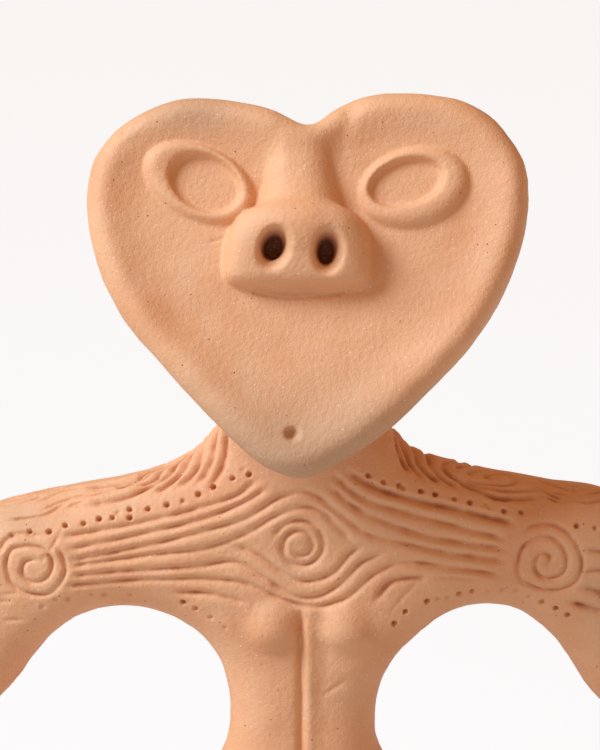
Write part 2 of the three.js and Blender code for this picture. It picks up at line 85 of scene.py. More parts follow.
def spline(points: Sequence[Point], step: float, closed: bool = False) -> Array:
    """Run a centripetal Catmull-Rom curve through points and walk it in equal steps.

    Args:
        points: The points that the curve goes through.
        step: The distance between the points that come back.
        closed: Whether the curve comes back to its first point.

    Returns:
        The walked points, one a row.
    """
    p = np.asarray(points, float)
    if closed:
        p = np.vstack([p[-1:], p, p[:2]])
    else:
        p = np.vstack([2 * p[:1] - p[1:2], p, 2 * p[-1:] - p[-2:-1]])
    a, b, c, d = (p[i:len(p) - 3 + i][:, None] for i in range(4))
    knot = [np.zeros((len(p) - 3, 1, 1))]
    for one, two in ((a, b), (b, c), (c, d)):
        knot.append(knot[-1] + np.sqrt(np.linalg.norm(two - one, axis=2, keepdims=True)) + 1e-9)
    t0, t1, t2, t3 = knot
    t = t1 + (t2 - t1) * np.linspace(0, 1, 24, endpoint=False)[None, :, None]
    ab = ((t1 - t) * a + (t - t0) * b) / (t1 - t0)
    bc = ((t2 - t) * b + (t - t1) * c) / (t2 - t1)
    cd = ((t3 - t) * c + (t - t2) * d) / (t3 - t2)
    abc = ((t2 - t) * ab + (t - t0) * bc) / (t2 - t0)
    bcd = ((t3 - t) * bc + (t - t1) * cd) / (t3 - t1)
    curve = (((t2 - t) * abc + (t - t1) * bcd) / (t2 - t1)).reshape(-1, p.shape[1])
    curve = np.vstack([curve, p[-2:-1]])
    along = np.concatenate([[0], np.cumsum(np.linalg.norm(np.diff(curve, axis=0), axis=1))])
    count = max(2, int(round(along[-1] / step)) + 1)
    places = np.linspace(0, along[-1], count)
    return np.stack([np.interp(places, along, curve[:, k]) for k in range(p.shape[1])], axis=1)


def through(stations: Sequence[Point], column: int, at: Array) -> Array:
    """Read one column of a list of stations, first column the place, smoothly in between.

    Args:
        stations: Rows of a place and the values there.
        column: Which column to read.
        at: Where to read it.

    Returns:
        The values at those places.
    """
    table = np.asarray(stations, float)
    table = table[np.argsort(table[:, 0])]
    walk = spline([tuple(row) for row in table[:, [0, column]]], 0.5)
    order = np.argsort(walk[:, 0])
    return np.interp(at, walk[order, 0], walk[order, 1])


def blur(values: Array, cells: float) -> Array:
    """Blur a grid by a bell curve of the given width in cells, along both of its axes.

    Args:
        values: The grid.
        cells: The bell's width in cells.

    Returns:
        The blurred grid.
    """
    reach = int(math.ceil(cells * 3))
    bell = np.exp(-0.5 * (np.arange(-reach, reach + 1) / cells) ** 2)
    bell /= bell.sum()
    for axis in (0, 1):
        margin = [(reach, reach) if k == axis else (0, 0) for k in (0, 1)]
        padded = np.pad(values, margin, mode="edge")
        total = np.zeros_like(values)
        for k, weight in enumerate(bell):
            total += weight * (padded[k:k + values.shape[0]] if axis == 0
                               else padded[:, k:k + values.shape[1]])
        values = total
    return values


@dataclass
class Table:
    """Values on a regular grid over a plane, read by bilinear interpolation.

    Args:
        low: The plane's coordinates at the grid's first corner.
        step: The distance between grid points.
        values: The values, one a grid point.
    """

    low: tuple[float, float]
    step: float
    values: Array

    @classmethod
    def grid(cls, low: Point, high: Point, step: float) -> "Table":
        """Lay out an empty grid from one corner to the other."""
        size = [int(math.ceil((h - l) / step)) + 1 for l, h in zip(low, high)]
        return cls((low[0], low[1]), step, np.zeros(size, np.float32))

    def places(self) -> tuple[Array, Array]:
        """Give both coordinates of every grid point.

        Returns:
            Both coordinates, each as a grid.
        """
        axes = [self.low[k] + self.step * np.arange(self.values.shape[k]) for k in (0, 1)]
        u, v = np.meshgrid(*axes, indexing="ij")
        return u, v

    def at(self, u: Array, v: Array) -> Array:
        """Read the table at any places; beyond its edge the edge's value holds.

        Args:
            u: First coordinate.
            v: Second coordinate.

        Returns:
            The values there.
        """
        x = np.clip((u - self.low[0]) / self.step, 0, self.values.shape[0] - 1.001)
        y = np.clip((v - self.low[1]) / self.step, 0, self.values.shape[1] - 1.001)
        i, j = x.astype(np.int64), y.astype(np.int64)
        fx, fy = x - i, y - j
        t = self.values
        return ((t[i, j] * (1 - fx) + t[i + 1, j] * fx) * (1 - fy)
                + (t[i, j + 1] * (1 - fx) + t[i + 1, j + 1] * fx) * fy)


def inside_distance(outline: Array, low: Point, high: Point, step: float) -> Table:
    """Measure how far inside a closed outline each place is, below zero outside.

    The distance is the least to any of the outline's straight pieces, and a place is inside where
    a ray to the right crosses the outline an odd number of times.

    Args:
        outline: The outline's points in order.
        low: One corner of the measured region.
        high: The other corner.
        step: The distance between the places measured.

    Returns:
        The table of distances.
    """
    table = Table.grid(low, high, step)
    u, v = table.places()
    least = np.full(u.shape, 1e9)
    odd = np.zeros(u.shape, bool)
    for (ax, ay), (bx, by) in zip(outline, np.roll(outline, -1, axis=0)):
        dx, dy = bx - ax, by - ay
        along = np.clip(((u - ax) * dx + (v - ay) * dy) / (dx * dx + dy * dy + 1e-12), 0, 1)
        least = np.minimum(least, (u - ax - along * dx) ** 2 + (v - ay - along * dy) ** 2)
        if ay != by:
            row = (v >= min(ay, by)) & (v < max(ay, by))
            odd ^= row & (u < ax + (v - ay) / dy * dx)
    table.values = np.where(odd, 1.0, -1.0) * np.sqrt(least)
    return table


@dataclass
class Columns:
    """Sizes that change smoothly along a limb, read by place."""

    places: Array
    values: list[Array]

    @classmethod
    def of(cls, stations: Sequence[Point]) -> "Columns":
        """Run a smooth curve through every column after the first, which is the place.

        Args:
            stations: Rows of a place and the sizes there.

        Returns:
            The columns.
        """
        first = [station[0] for station in stations]
        places = np.linspace(min(first), max(first), 600)
        return cls(places, [through(stations, k, places) for k in range(1, len(stations[0]))])

    def at(self, place: Array) -> list[Array]:
        """Read all columns at the given places."""
        return [np.interp(place, self.places, column) for column in self.values]


@dataclass
class Body:
    """Arms, trunk and legs: one flat form with rounded edges, from its outline and its depths."""

    outline: Sequence[Point] = (
        (0, 211), (-22, 208.5), (-28, 204), (-34, 201.6), (-46.5, 198.2), (-64, 194.4),
        (-83.3, 190), (-97, 181.5), (-106.5, 167), (-110.5, 152), (-108.5, 140), (-101, 131),
        (-93, 129), (-87, 132), (-81.5, 137.5), (-74.8, 147.5), (-67.5, 155), (-58, 159.6),
        (-47, 161), (-36.5, 158.2), (-28.5, 152.5), (-23.6, 146), (-21.2, 139), (-20.4, 131),
        (-21.3, 121), (-24.8, 114.5), (-31.5, 111), (-42, 109), (-54, 106.2), (-66, 100.6),
        (-76, 92.5), (-82, 83), (-85.4, 67), (-82.2, 45), (-77.4, 26), (-77.6, 12), (-78.8, 2.6),
        (-79, -14), (-70, -22), (-45, -22), (-36.5, -14), (-36.5, 2.6), (-38.4, 11), (-41, 22),
        (-39.8, 37), (-33, 51), (-23.5, 58.8), (-12.5, 61.8), (0, 62.6), (12.5, 61.8),
        (23.5, 58.8), (33, 51), (39.8, 37), (41, 22), (38.4, 11), (36.5, 2.6), (36.5, -14),
        (45, -22), (70, -22), (79, -14), (78.8, 2.6), (77.6, 12), (77.4, 26), (82.2, 45),
        (85.4, 67), (82, 83), (76, 92.5), (66, 100.6), (54, 106.2), (42, 109), (31.5, 111),
        (24.6, 114.5), (20.8, 121), (20.5, 131), (22.2, 139), (26, 146.2), (31.5, 152),
        (39.5, 158.4), (50, 161.4), (60, 159.9), (68.6, 153.4), (76, 143.2), (82.5, 134.6),
        (88, 129.8), (94, 127.6), (102, 129.8), (108.8, 138.6), (111, 152), (107.5, 167.5),
        (98.5, 183), (85, 193), (66, 196.4), (48.4, 200), (34, 203.4), (28, 205.4), (23, 208.5),
    )
    # Height, depth in front, depth behind, and how far in from the outline the form is round.
    depths: Sequence[Point] = (
        (-22, 23.5, 23.5, 12), (0, 24, 24, 13), (6, 24.3, 24.3, 14), (13, 23.6, 23.6, 16),
        (24, 21, 21, 18), (42, 20.6, 20.6, 19), (60, 21.6, 21.6, 20), (80, 21.6, 21, 20),
        (95, 20, 18.5, 19), (107, 17, 15.4, 17), (114, 15.6, 13.8, 16), (124, 14.6, 12.8, 15.5),
        (135, 14.3, 12.6, 15.5), (148, 14.6, 13.4, 15.5), (160, 15, 14.4, 15.5),
        (180, 15.2, 15, 16), (200, 15, 15, 16), (214, 14.5, 14.5, 16),
    )
    roundness: float = 2.2
    sole_edge: float = 2.2
    sweep: float = 0.0007
    table: Table = field(init=False)
    columns: Columns = field(init=False)

    def __post_init__(self) -> None:
        """Measure the outline and lay out the depths once."""
        edge = spline(self.outline, 2.0, closed=True)
        self.table = inside_distance(edge, (-122, -30), (122, 222), 0.8)
        self.table.values = blur(self.table.values, 1.2)
        self.columns = Columns.of(self.depths)

    def distance(self, p: Array) -> Array:
        """Give a distance to the skin, below zero inside.

        With a the share of the round edge still to go and b the depth over the half depth, the
        skin lies where a^n + b^n = 1, and the soles cut it off flat at z = 0. The arms sweep back
        by a parabola of the way out, along the line of sight, so that they look the same.

        Args:
            p: The places.

        Returns:
            The distance at each.
        """
        x, y, z = p.T
        swept = self.sweep * np.clip(np.abs(x) - 6.0, 0, 90) ** 2 * smooth((z - 112) / 16)
        y, z = y - swept, z + swept * math.tan(TILT)
        before, behind, turn = self.columns.at(z)
        half = np.where(y < 0, before, behind)
        edge = np.clip(1.0 - self.table.at(x, z) / turn, 0, None)
        n = self.roundness
        level = (edge ** n + (np.abs(y) / half) ** n + 1e-12) ** (1 / n) - 1.0
        return over(level * np.minimum(half, turn), -z, self.sole_edge)


@dataclass
class Neck:
    """The neck, which leans forward from between the shoulders to the back of the head."""

    # Height, half width, half depth, and the middle's place in y.
    stations: Sequence[Point] = (
        (186, 27, 13, 0), (203, 24.2, 13.4, 0), (214, 22.4, 13.2, -2.5), (228, 22, 13, -7),
        (246, 21, 12, -12.5), (262, 17.5, 9.5, -17), (274, 11, 5.5, -20.5),
    )
    top: float = 272.0
    foot: float = 188.0
    end_edge: float = 6.0
    roundness: float = 2.1
    columns: Columns = field(init=False)

    def __post_init__(self) -> None:
        """Lay out the sections once."""
        self.columns = Columns.of(self.stations)

    def distance(self, p: Array) -> Array:
        """Give a distance to an upright rounded column whose section changes with height.

        Args:
            p: The places.

        Returns:
            The distance at each.
        """
        x, y, z = p.T
        wide, deep, middle = self.columns.at(z)
        n = self.roundness
        level = ((np.abs(x) / wide) ** n + (np.abs(y - middle) / deep) ** n + 1e-12) ** (1 / n) - 1
        cut_above = over(level * deep, z - self.top, self.end_edge)
        return over(cut_above, self.foot - z, self.end_edge)


@dataclass
class Eye:
    """A coil of clay pressed down round a hollow, laid out in the plane of the face."""

    coil: tuple[float, float, float, float, float]
    hollow: tuple[float, float, float, float, float]


def oval(u: Array, v: Array, form: Sequence[float]) -> Array:
    """Give a place's share of the way from an oval's middle to its edge.

    Args:
        u: First coordinate.
        v: Second coordinate.
        form: The middle's two coordinates, the two half sizes and the turn in degrees.

    Returns:
        0 at the middle, 1 on the edge.
    """
    cu, cv, a, b, turn = form
    c, s = math.cos(math.radians(turn)), math.sin(math.radians(turn))
    return np.hypot(((u - cu) * c + (v - cv) * s) / a, ((v - cv) * c - (u - cu) * s) / b)


def patch(u: Array, v: Array, form: Point) -> Array:
    """Give a soft patch: 1 at its middle, falling as a bell with its two half sizes."""
    cu, cv, a, b = form
    return np.exp(-(((u - cu) / a) ** 2) - ((v - cv) / b) ** 2)


def near(u: Array, v: Array, path: Array) -> Array:
    """Give the distance from every place to a path of straight pieces.

    Args:
        u: First coordinate.
        v: Second coordinate.
        path: The path's points, one a row.

    Returns:
        The least distance for every place.
    """
    least = np.full(u.shape, 1e9)
    for (ax, ay), (bx, by) in zip(path[:-1], path[1:]):
        dx, dy = bx - ax, by - ay
        along = np.clip(((u - ax) * dx + (v - ay) * dy) / (dx * dx + dy * dy + 1e-12), 0, 1)
        least = np.minimum(least, np.hypot(u - ax - along * dx, v - ay - along * dy))
    return least


@dataclass
class Head:
    """The heart: a tipped-back plate with a shallow bowl, coiled eyes, a snout and a mouth pit."""

    chin: Point = (0.0, -48.0, 209.5)
    lean: float = 20.0
    thick: float = 15.0
    rim: float = 6.4
    roundness: float = 2.2
    heart: Sequence[Point] = (
        (1.6, 95.8), (8.5, 99.8), (17.7, 103.4), (32, 104.2), (44, 102), (52.2, 96.8),
        (59.6, 85.4), (60.8, 71.8), (56, 54), (47.6, 38.6), (36.4, 25.8), (22, 12), (10.4, 4),
        (0, 0), (-8.5, 2.2), (-20.4, 11.6), (-33.4, 25.2), (-45.8, 39.8), (-53.2, 52.6),
        (-58.3, 70.8), (-56.3, 86.2), (-47.6, 96.5), (-34.8, 102.2), (-21, 102.6), (-8.5, 99.8),
    )
    bowl: float = 4.2
    bowl_from: float = 3.5
    bowl_over: float = 14.5
    # The bridge downwards: how far up the face, left edge, right edge, and rise from the bowl.
    bridge: Sequence[Point] = (
        (101, -6.5, 8.5, 3.2), (97, -7.2, 7.8, 4.2), (92, -8.2, 7, 5.2), (86, -9.2, 7.4, 6.4),
        (80, -10.4, 8.6, 8), (76, -11.4, 9.6, 9.8), (72, -12.8, 11, 12), (68, -13.6, 12, 13.2),
        (63, -12.8, 11, 12.6), (56, -11, 9.6, 8),
    )
    # The valley between the bridge and the right eye.
    valley: Sequence[Point] = ((13, 99), (11, 93), (9.8, 86), (10.6, 79), (14.6, 73))
    valley_depth: float = 1.0
    valley_width: float = 2.6
    bridge_seam: float = 4.0
    snout_seam: float = 3.6
    # The snout's middle, half width, how far it runs up and down, and its rise.
    snout: Point = (-1.1, 57.0, 20.2, 17.2, 7.2, 10.9)
    snout_tip: float = 0.36
    nostrils: Sequence[tuple[Sequence[float], Sequence[float]]] = (
        ((-7.6, 59.6, 6.9, 5.3, 64), (-8.0, 61.0, 4.7, 3.8, 64)),
        ((6.7, 58.8, 7.0, 5.0, 84), (6.1, 60.0, 4.8, 3.3, 84)),
    )
    nostril_dent: float = 3.2
    nostril_depth: float = 8.0
    eyes: Sequence[Eye] = (
        Eye((-27.9, 79.0, 15.7, 9.9, -25), (-26.3, 78.8, 9.9, 7.2, -29)),
        Eye((29.9, 77.7, 15.1, 10.8, 16), (27.7, 79.0, 10.0, 6.1, 17)),
    )
    brow: float = 3.0
    brow_patch: Point = (-8, 95, 13, 12)
    coil_rise: float = 3.0
    coil_swell: float = 0.18
    eye_sink: float = 1.1
    mouth: Point = (-2.9, 10.8)
    mouth_radius: float = 2.5
    mouth_depth: float = 2.5
    table: Table = field(init=False)
    relief: Table = field(init=False)
    detail: Table = field(init=False)
    hollow: Table = field(init=False)
    up: Array = field(init=False)
    out: Array = field(init=False)

    def __post_init__(self) -> None:
        """Measure the heart and lay its relief."""
        tip = math.radians(self.lean)
        self.up = np.array((0.0, math.sin(tip), math.cos(tip)))
        self.out = np.array((0.0, -math.cos(tip), math.sin(tip)))
        edge = spline(self.heart, 1.2, closed=True)
        self.table = inside_distance(edge, (-72, -12), (72, 116), 0.5)
        self.table.values = blur(self.table.values, 1.4)
        self.lay_relief()

    def add_coils(self, height: Array, p: Array, q: Array) -> Array:
        """Raise the coils round the eyes and sink what they enclose.

        A coil rises by (1 - |2 w^0.75 - 1|^n)^0.5 of the share w of the way from its inner oval to
        its outer one, with n greater inside, where it is steeper.

        Args:
            height: The face's height so far.
            p: Places across the face.
            q: Places up the face.

        Returns:
            The new height.
        """
        for eye in self.eyes:
            outer, inner = oval(p, q, eye.coil), oval(p, q, eye.hollow)
            to_hollow = np.clip(inner - 1, 0, None) * (eye.hollow[2] + eye.hollow[3]) / 2
            to_edge = np.clip(1 - outer, 0, None) * (eye.coil[2] + eye.coil[3]) / 2
            thick = to_hollow + to_edge
            w = to_hollow / (thick + 1e-9)
            rise = self.coil_rise + self.coil_swell * np.clip(thick, 0, 6.5)
            ring = (outer < 1) & (inner > 1)
            s = 2 * np.clip(w, 0, 1) ** 0.75 - 1
            section = np.clip(1 - np.abs(s) ** np.where(s < 0, 4.5, 2.4), 0, 1) ** 0.5
            height = height + np.where(ring, rise * section, 0)
            height = height - self.eye_sink * np.clip(1 - inner ** 4, 0, 1) ** 0.7
        return height

    def bridge_height(self, p: Array, q: Array) -> Array:
        """Give the bridge's rise, (1 - |s|^2.4)^0.6 across its width, softer on its upper left.

        Args:
            p: Places across the face.
            q: Places up the face.

        Returns:
            The bridge's rise from the bowl.
        """
        up = q[0]
        left, right, rise = Columns.of(self.bridge).at(up)
        rise = rise * smooth((up - self.bridge[-1][0]) / 4)
        s = np.abs((p - (left + right)[None] / 2) / ((right - left)[None] / 2))
        steep = np.clip(1 - s ** 2.4, 0, 1) ** 0.6
        soft = smooth((1.5 - s) / 1.1)
        at_left = smooth((up[None] - 76) / 12) * (p < (left + right)[None] / 2)
        return rise[None] * (steep + at_left * (np.maximum(steep, soft) - steep))

    def snout_height(self, p: Array, q: Array) -> Array:
        """Give the snout's rise, (1 - r^6)^0.5 of the share r of the way to its outline.

        The outline is |a|^n + |b|^n = 1 of the shares of its half width and of its run up or down,
        squarer below, and the end is tipped up.

        Args:
            p: Places across the face.
            q: Places up the face.

        Returns:
            The snout's rise from the bowl.
        """
        middle, level, wide, high, low, tall = self.snout
        rest = np.where(q > level, (q - level) / high, (level - q) / low)
        n = np.where(q > level, 2.5, 4.5)
        r = (np.abs((p - middle) / wide) ** n + rest ** n) ** (1 / n)
        return (tall + self.snout_tip * (q - level)) * np.clip(1 - r ** 6, 0, 1) ** 0.5

    def add_nicks(self, height: Array, p: Array, q: Array) -> Array:
        """Cut the nicks as parabolas, each with a low rim of pushed-up clay beside it.

        Args:
            height: The face's height so far.
            p: Places across the face.
            q: Places up the face.

        Returns:
            The new height.
        """
        for points, wide, depth in FACE_NICKS:
            away = near(p, q, spline(points, 1.0))
            height = height - depth * np.clip(1 - (away / wide) ** 2, 0, 1)
            height = height + 0.25 * depth * np.exp(-(((away - 1.4 * wide) / (0.6 * wide)) ** 2))
        return height

    def lay_relief(self) -> None:
        """Work out the height of the face over its plate.

        The bowl falls by a smooth step of the distance in from the rim. Coils, bridge and snout
        rise from it with soft seams, a valley with a bell's section runs down beside the bridge's
        right flank, and nostrils, mouth and nicks are pressed in last.
        """
        grid = Table.grid((-66, -6), (66, 110), 0.25)
        p, q = grid.places()
        cells = 1.0 / grid.step
        inside = self.table.at(p, q)
        shallow = 0.35 + 0.65 * smooth((q - 4) / 36)
        height = -self.bowl * shallow * smooth((inside - self.bowl_from) / self.bowl_over)
        height = blur(height, 1.4 * cells)
        height = height + self.brow * patch(p, q, self.brow_patch)
        height = self.add_coils(height, p, q)
        valley = near(p, q, spline(self.valley, 1.0))
        height = height - self.valley_depth * np.exp(-((valley / self.valley_width) ** 2))
        height = over(height, self.bridge_height(p, q) - self.bowl, self.bridge_seam)
        height = over(height, self.snout_height(p, q) - self.bowl, self.snout_seam)
        height = blur(height, 0.35 * cells)
        # How far into a nostril each place is, kept for painting shade into the nostrils.
        dark = np.zeros_like(height)
        for dent, hole in self.nostrils:
            deep = smooth((1 - oval(p, q, hole)) / 0.5)
            height = height - self.nostril_dent * smooth((1 - oval(p, q, dent)) / 0.6)
            height = height - self.nostril_depth * deep
            dark = np.maximum(dark, deep)
        from_mouth = np.hypot(p - self.mouth[0], q - self.mouth[1])
        height = height - self.mouth_depth * smooth((self.mouth_radius - from_mouth) / 2.0)
        height = blur(self.add_nicks(height, p, q), 0.2 * cells)
        self.relief = Table(grid.low, grid.step, height)
        busy = blur(np.abs(height - blur(height, 0.9 * cells)), 0.6 * cells)
        self.detail = Table(grid.low, grid.step, busy)
        self.hollow = Table(grid.low, grid.step, dark)

    def local(self, p: Array) -> tuple[Array, Array, Array]:
        """Give places in the face's own terms: across, up from the chin, and out of the face."""
        q = p - np.array(self.chin)
        return q[:, 0], q @ self.up, q @ self.out

    def distance(self, p: Array) -> Array:
        """Give a distance to the plain plate, rounded all along its edge.

        Args:
            p: The places.

        Returns:
            The distance at each.
        """
        across, up, out = self.local(p)
        half = self.thick / 2
        edge = np.clip(1.0 - self.table.at(across, up) / self.rim, 0, None)
        n = self.roundness
        level = (edge ** n + (np.abs(out + half) / half) ** n + 1e-12) ** (1 / n) - 1.0
        return level * min(half, self.rim)

    def front(self, p: Array, normal: Array) -> Array:
        """Tell how far each place belongs to the front of the face, from 0 to 1."""
        _, _, out = self.local(p)
        return smooth((normal @ self.out - 0.25) / 0.3) * smooth((out + self.thick * 0.45) / 2)


# Nicks and creases in the face, across and up from the chin: the path, half width and depth.
FACE_NICKS: Sequence[tuple[Sequence[Point], float, float]] = (
    (((-8.1, 77.6), (-8.8, 75.6), (-9.9, 73.4)), 0.35, 0.5),
    (((-24.4, 63.1), (-22.4, 63.6), (-19.6, 64.8)), 0.4, 0.5),
    (((-3.8, 86.6), (-3.4, 86)), 0.3, 0.4),
    (((9.2, 48.9), (10.6, 49.2), (11, 50.2)), 0.4, 0.5),
    (((-13, 49), (-8, 48), (-3, 47.6), (4, 48.2), (9, 48.8)), 0.5, 0.35),
    (((-49.4, 87.2), (-46.6, 89.4), (-43.6, 91.2)), 1.3, 0.16),
    (((51.8, 89), (53, 85.4), (53.2, 81.8)), 0.4, 0.25),
    (((11.4, 97.6), (13, 98.2), (15, 98.4)), 0.6, 0.35),
    (((12, 95.8), (13.4, 96.2)), 0.5, 0.3),
)


class Tool(Enum):
    """What cut a mark: half width of the mark, its depth, and how high the clay is pushed up."""

    LINE = (1.35, 1.2, 0.14)
    DEEP = (1.5, 1.9, 0.2)
    FINE = (1.05, 1.25, 0.12)
    HAIR = (0.68, 1.05, 0.08)
    FAINT = (0.8, 0.42, 0.04)
    PIT = (0.95, 1.6, 0.12)
    SOFT_PIT = (0.85, 0.5, 0.08)


@dataclass
class Sheet:
    """A flat layout of carving that is pressed straight on the clay.

    A place on the clay reads the layout at its two coordinates along across and up. The distance
    to the nearest mark there is stretched by the slope of the clay, so that a mark keeps its true
    width where the clay turns away from the sheet.
    """

    across: Point
    up: Point
    low: Point
    high: Point
    cell: float
    marks: dict[Tool, list[Array]]
    fine: float = 0.52
    reach: float = 2.4
    wander: float = 0.18
    tables: dict[Tool, tuple[Table, Table, Table]] = field(default_factory=dict)
    press: Array = field(init=False)
    hand: Table = field(init=False)

    def __post_init__(self) -> None:
        """Measure the distance to the marks of each tool, and its slope."""
        self.press = np.cross(self.up, self.across)
        self.hand = Table.grid(self.low, self.high, 1.0)
        u, v = self.hand.places()
        places = np.stack([u.ravel(), v.ravel(), np.zeros(u.size)], axis=1)
        self.hand.values = ripple(places, 5.0, 11).reshape(u.shape)
        for tool, paths in self.marks.items():
            grid = Table.grid(self.low, self.high, self.cell)
            drawn = np.full(grid.values.shape, np.float32(self.reach ** 2))
            places = np.vstack(paths)
            lift_off = np.concatenate([self.ends(path, tool) for path in paths])
            ij = np.rint((places - np.array(self.low)) / self.cell).astype(int)
            ok = ((ij >= 0) & (ij < drawn.shape)).all(axis=1)
            np.minimum.at(drawn, (ij[ok, 0], ij[ok, 1]), (lift_off[ok] ** 2).astype(np.float32))
            away = self.spread(drawn)
            slope = [blur(part, 1.0) for part in np.gradient(away, self.cell)]
            self.tables[tool] = tuple(Table(grid.low, grid.step, part) for part in (away, *slope))

    @staticmethod
    def ends(path: Array, tool: Tool) -> Array:
        """Tell how far the tool is lifted along a mark: at its ends, and a little all along.

        A lift counts as distance from the mark, so the groove grows narrow and shallow there.

        Args:
            path: The mark's points, one a row.
            tool: What cuts it.

        Returns:
            The lift at each point.
        """
        if tool in (Tool.PIT, Tool.SOFT_PIT):
            return 0.25 + 0.25 * np.sin(np.arange(len(path)) * 2.4)
        along = np.concatenate([[0], np.cumsum(np.linalg.norm(np.diff(path, axis=0), axis=1))])
        to_end = np.minimum(along, along[-1] - along) / min(4.0, along[-1] / 2)
        wavy = 0.16 + 0.14 * np.sin(along / 2.3 + path[0, 0])
        return tool.value[0] * np.maximum(0.85 * (1 - smooth(to_end)), wavy)

    def spread(self, squared: Array) -> Array:
        """Give every grid point its distance to the nearest mark, up to the reach.

        The squared distance is the least of the drawn values plus dx^2 over shifts along one
        axis, and then the least of that plus dy^2 over shifts along the other.

        Args:
            squared: The squared lift on the drawn marks, and the squared reach
                elsewhere.

        Returns:
            The distances.
        """
        count = int(self.reach / self.cell)
        for axis in (0, 1):
            least = squared.copy()
            for k in range(1, count + 1):
                ahead = [slice(None)] * 2
                behind = [slice(None)] * 2
                ahead[axis], behind[axis] = slice(k, None), slice(None, -k)
                a, b = tuple(ahead), tuple(behind)
                apart = np.float32((k * self.cell) ** 2)
                least[a] = np.minimum(least[a], squared[b] + apart)
                least[b] = np.minimum(least[b], squared[a] + apart)
            squared = least
        return blur(np.sqrt(squared), 0.7)

    def read(self, p: Array, normal: Array) -> tuple[Array, Array]:
        """Press the layout on the clay.

        Args:
            p: Places on the plain skin.
            normal: The skin's directions there.

        Returns:
            How far the skin moves out, below zero in a cut, and the distance to the nearest mark.
        """
        u, v = p @ np.array(self.across), p @ np.array(self.up)
        toward = -(normal @ self.press)
        facing = np.clip(toward, 0.12, None)
        tilt_u = (normal @ np.array(self.across)) / facing
        tilt_v = (normal @ np.array(self.up)) / facing
        within = ((u > self.low[0]) & (u < self.high[0]) & (v > self.low[1]) & (v < self.high[1]))
        shown = smooth((toward - 0.05) / 0.2) * within
        move = np.zeros(len(p))
        least = np.full(len(p), self.reach)
        pressure = 1 + self.wander * self.hand.at(u, v)
        for tool, (away, du, dv) in self.tables.items():
            wide, depth, lip = tool.value
            d = away.at(u, v)
            d = d * np.sqrt(1 + (du.at(u, v) * tilt_u + dv.at(u, v) * tilt_v) ** 2)
            s = np.clip(1 - d / wide, 0, 1)
            pit = tool in (Tool.PIT, Tool.SOFT_PIT)
            cut = -depth * (np.clip(1 - (1 - s) ** 2, 0, 1) if pit else s ** 1.45) * pressure
            raised = lip * np.exp(-(((d - 1.3 * wide) / (0.4 * wide)) ** 2))
            pushed_up = np.where(move < 0, move, np.maximum(move, raised))
            move = np.where(cut < 0, np.minimum(move, cut), pushed_up)
            least = np.minimum(least, np.where(shown > 0.02, d, self.reach))
        return move * shown, least


def lift(distance: Callable[[Array], Array], flat: Array) -> Array:
    """Find the places on the plain clay that lie under places of the front sheet.

    Each place goes in along the press by the distance that is left, and ends where it came
    nearest to the clay, so that places just beyond its outline fall on its edge.

    Args:
        distance: The distance to the plain figure.
        flat: Places on the front sheet.

    Returns:
        The places on the clay.
    """
    start, longest, creep = 60, 3.0, 0.05
    way = np.array(FRONT_PRESS)
    p = flat[:, :1] * np.array((1.0, 0.0, 0.0)) + flat[:, 1:] * np.array(FRONT_UP) - start * way
    best, least = p.copy(), np.full(len(p), 1e9)
    for _ in range(160):
        left = distance(p)
        better = left < least
        best[better], least = p[better], np.minimum(left, least)
        p = p + way * np.clip(0.6 * left, 0.0, longest)[:, None]
        p = p + way * creep * (least > 0.3)[:, None]
    return settle(distance, best, 4)


def ripple(p: Array, length: float, seed: int) -> Array:
    """Give a gentle random unevenness, the mean of plane waves of about one length.

    Args:
        p: The places.
        length: The waves' length.
        seed: Which waves.

    Returns:
        A value for each place, mostly between -1 and 1.
    """
    rng = np.random.default_rng(SEED + seed)
    way = rng.normal(size=(14, 3))
    way /= np.linalg.norm(way, axis=1, keepdims=True)
    rate = 2 * math.pi / (length * rng.uniform(0.7, 1.5, 14))
    phase = rng.uniform(0, 2 * math.pi, 14)
    total = np.zeros(len(p))
    for k in range(14):
        total += np.sin(p @ way[k] * rate[k] + phase[k])
    return total / 3.2


def spiral(centre: Point, radii: Point, angles: Point, flat: float, step: float) -> Array:
    """Draw a spiral whose radius grows evenly with its angle.

    Args:
        centre: Its middle.
        radii: First and last radius.
        angles: First and last angle in degrees.
        flat: Height over width.
        step: The distance between the points that come back.

    Returns:
        The spiral's points.
    """
    count = int(abs(angles[1] - angles[0]) / 6) + 2
    angle = np.radians(np.linspace(angles[0], angles[1], count))
    radius = np.linspace(radii[0], radii[1], count)
    points = np.stack([centre[0] + radius * np.cos(angle),
                       centre[1] + flat * radius * np.sin(angle)], axis=1)
    return spline([tuple(point) for point in points], step)


def row(points: Sequence[Point], count: int, seed: int) -> Array:
    """Place a row of pits along a curve, a little unevenly, as a hand does.

    Args:
        points: The points that the curve goes through.
        count: How many pits.
        seed: Which unevenness.

    Returns:
        The pits' places, one a row.
    """
    walk = spline(points, 0.2)
    rng = np.random.default_rng(SEED + seed)
    place = (np.arange(count) + rng.uniform(-0.12, 0.12, count)).clip(0, count - 1) / (count - 1)
    return walk[np.rint(place * (len(walk) - 1)).astype(int)]


def mirrored(points: Sequence[Point]) -> list[Point]:
    """Turn a path over from left to right."""
    return [(-x, y) for x, y in points]
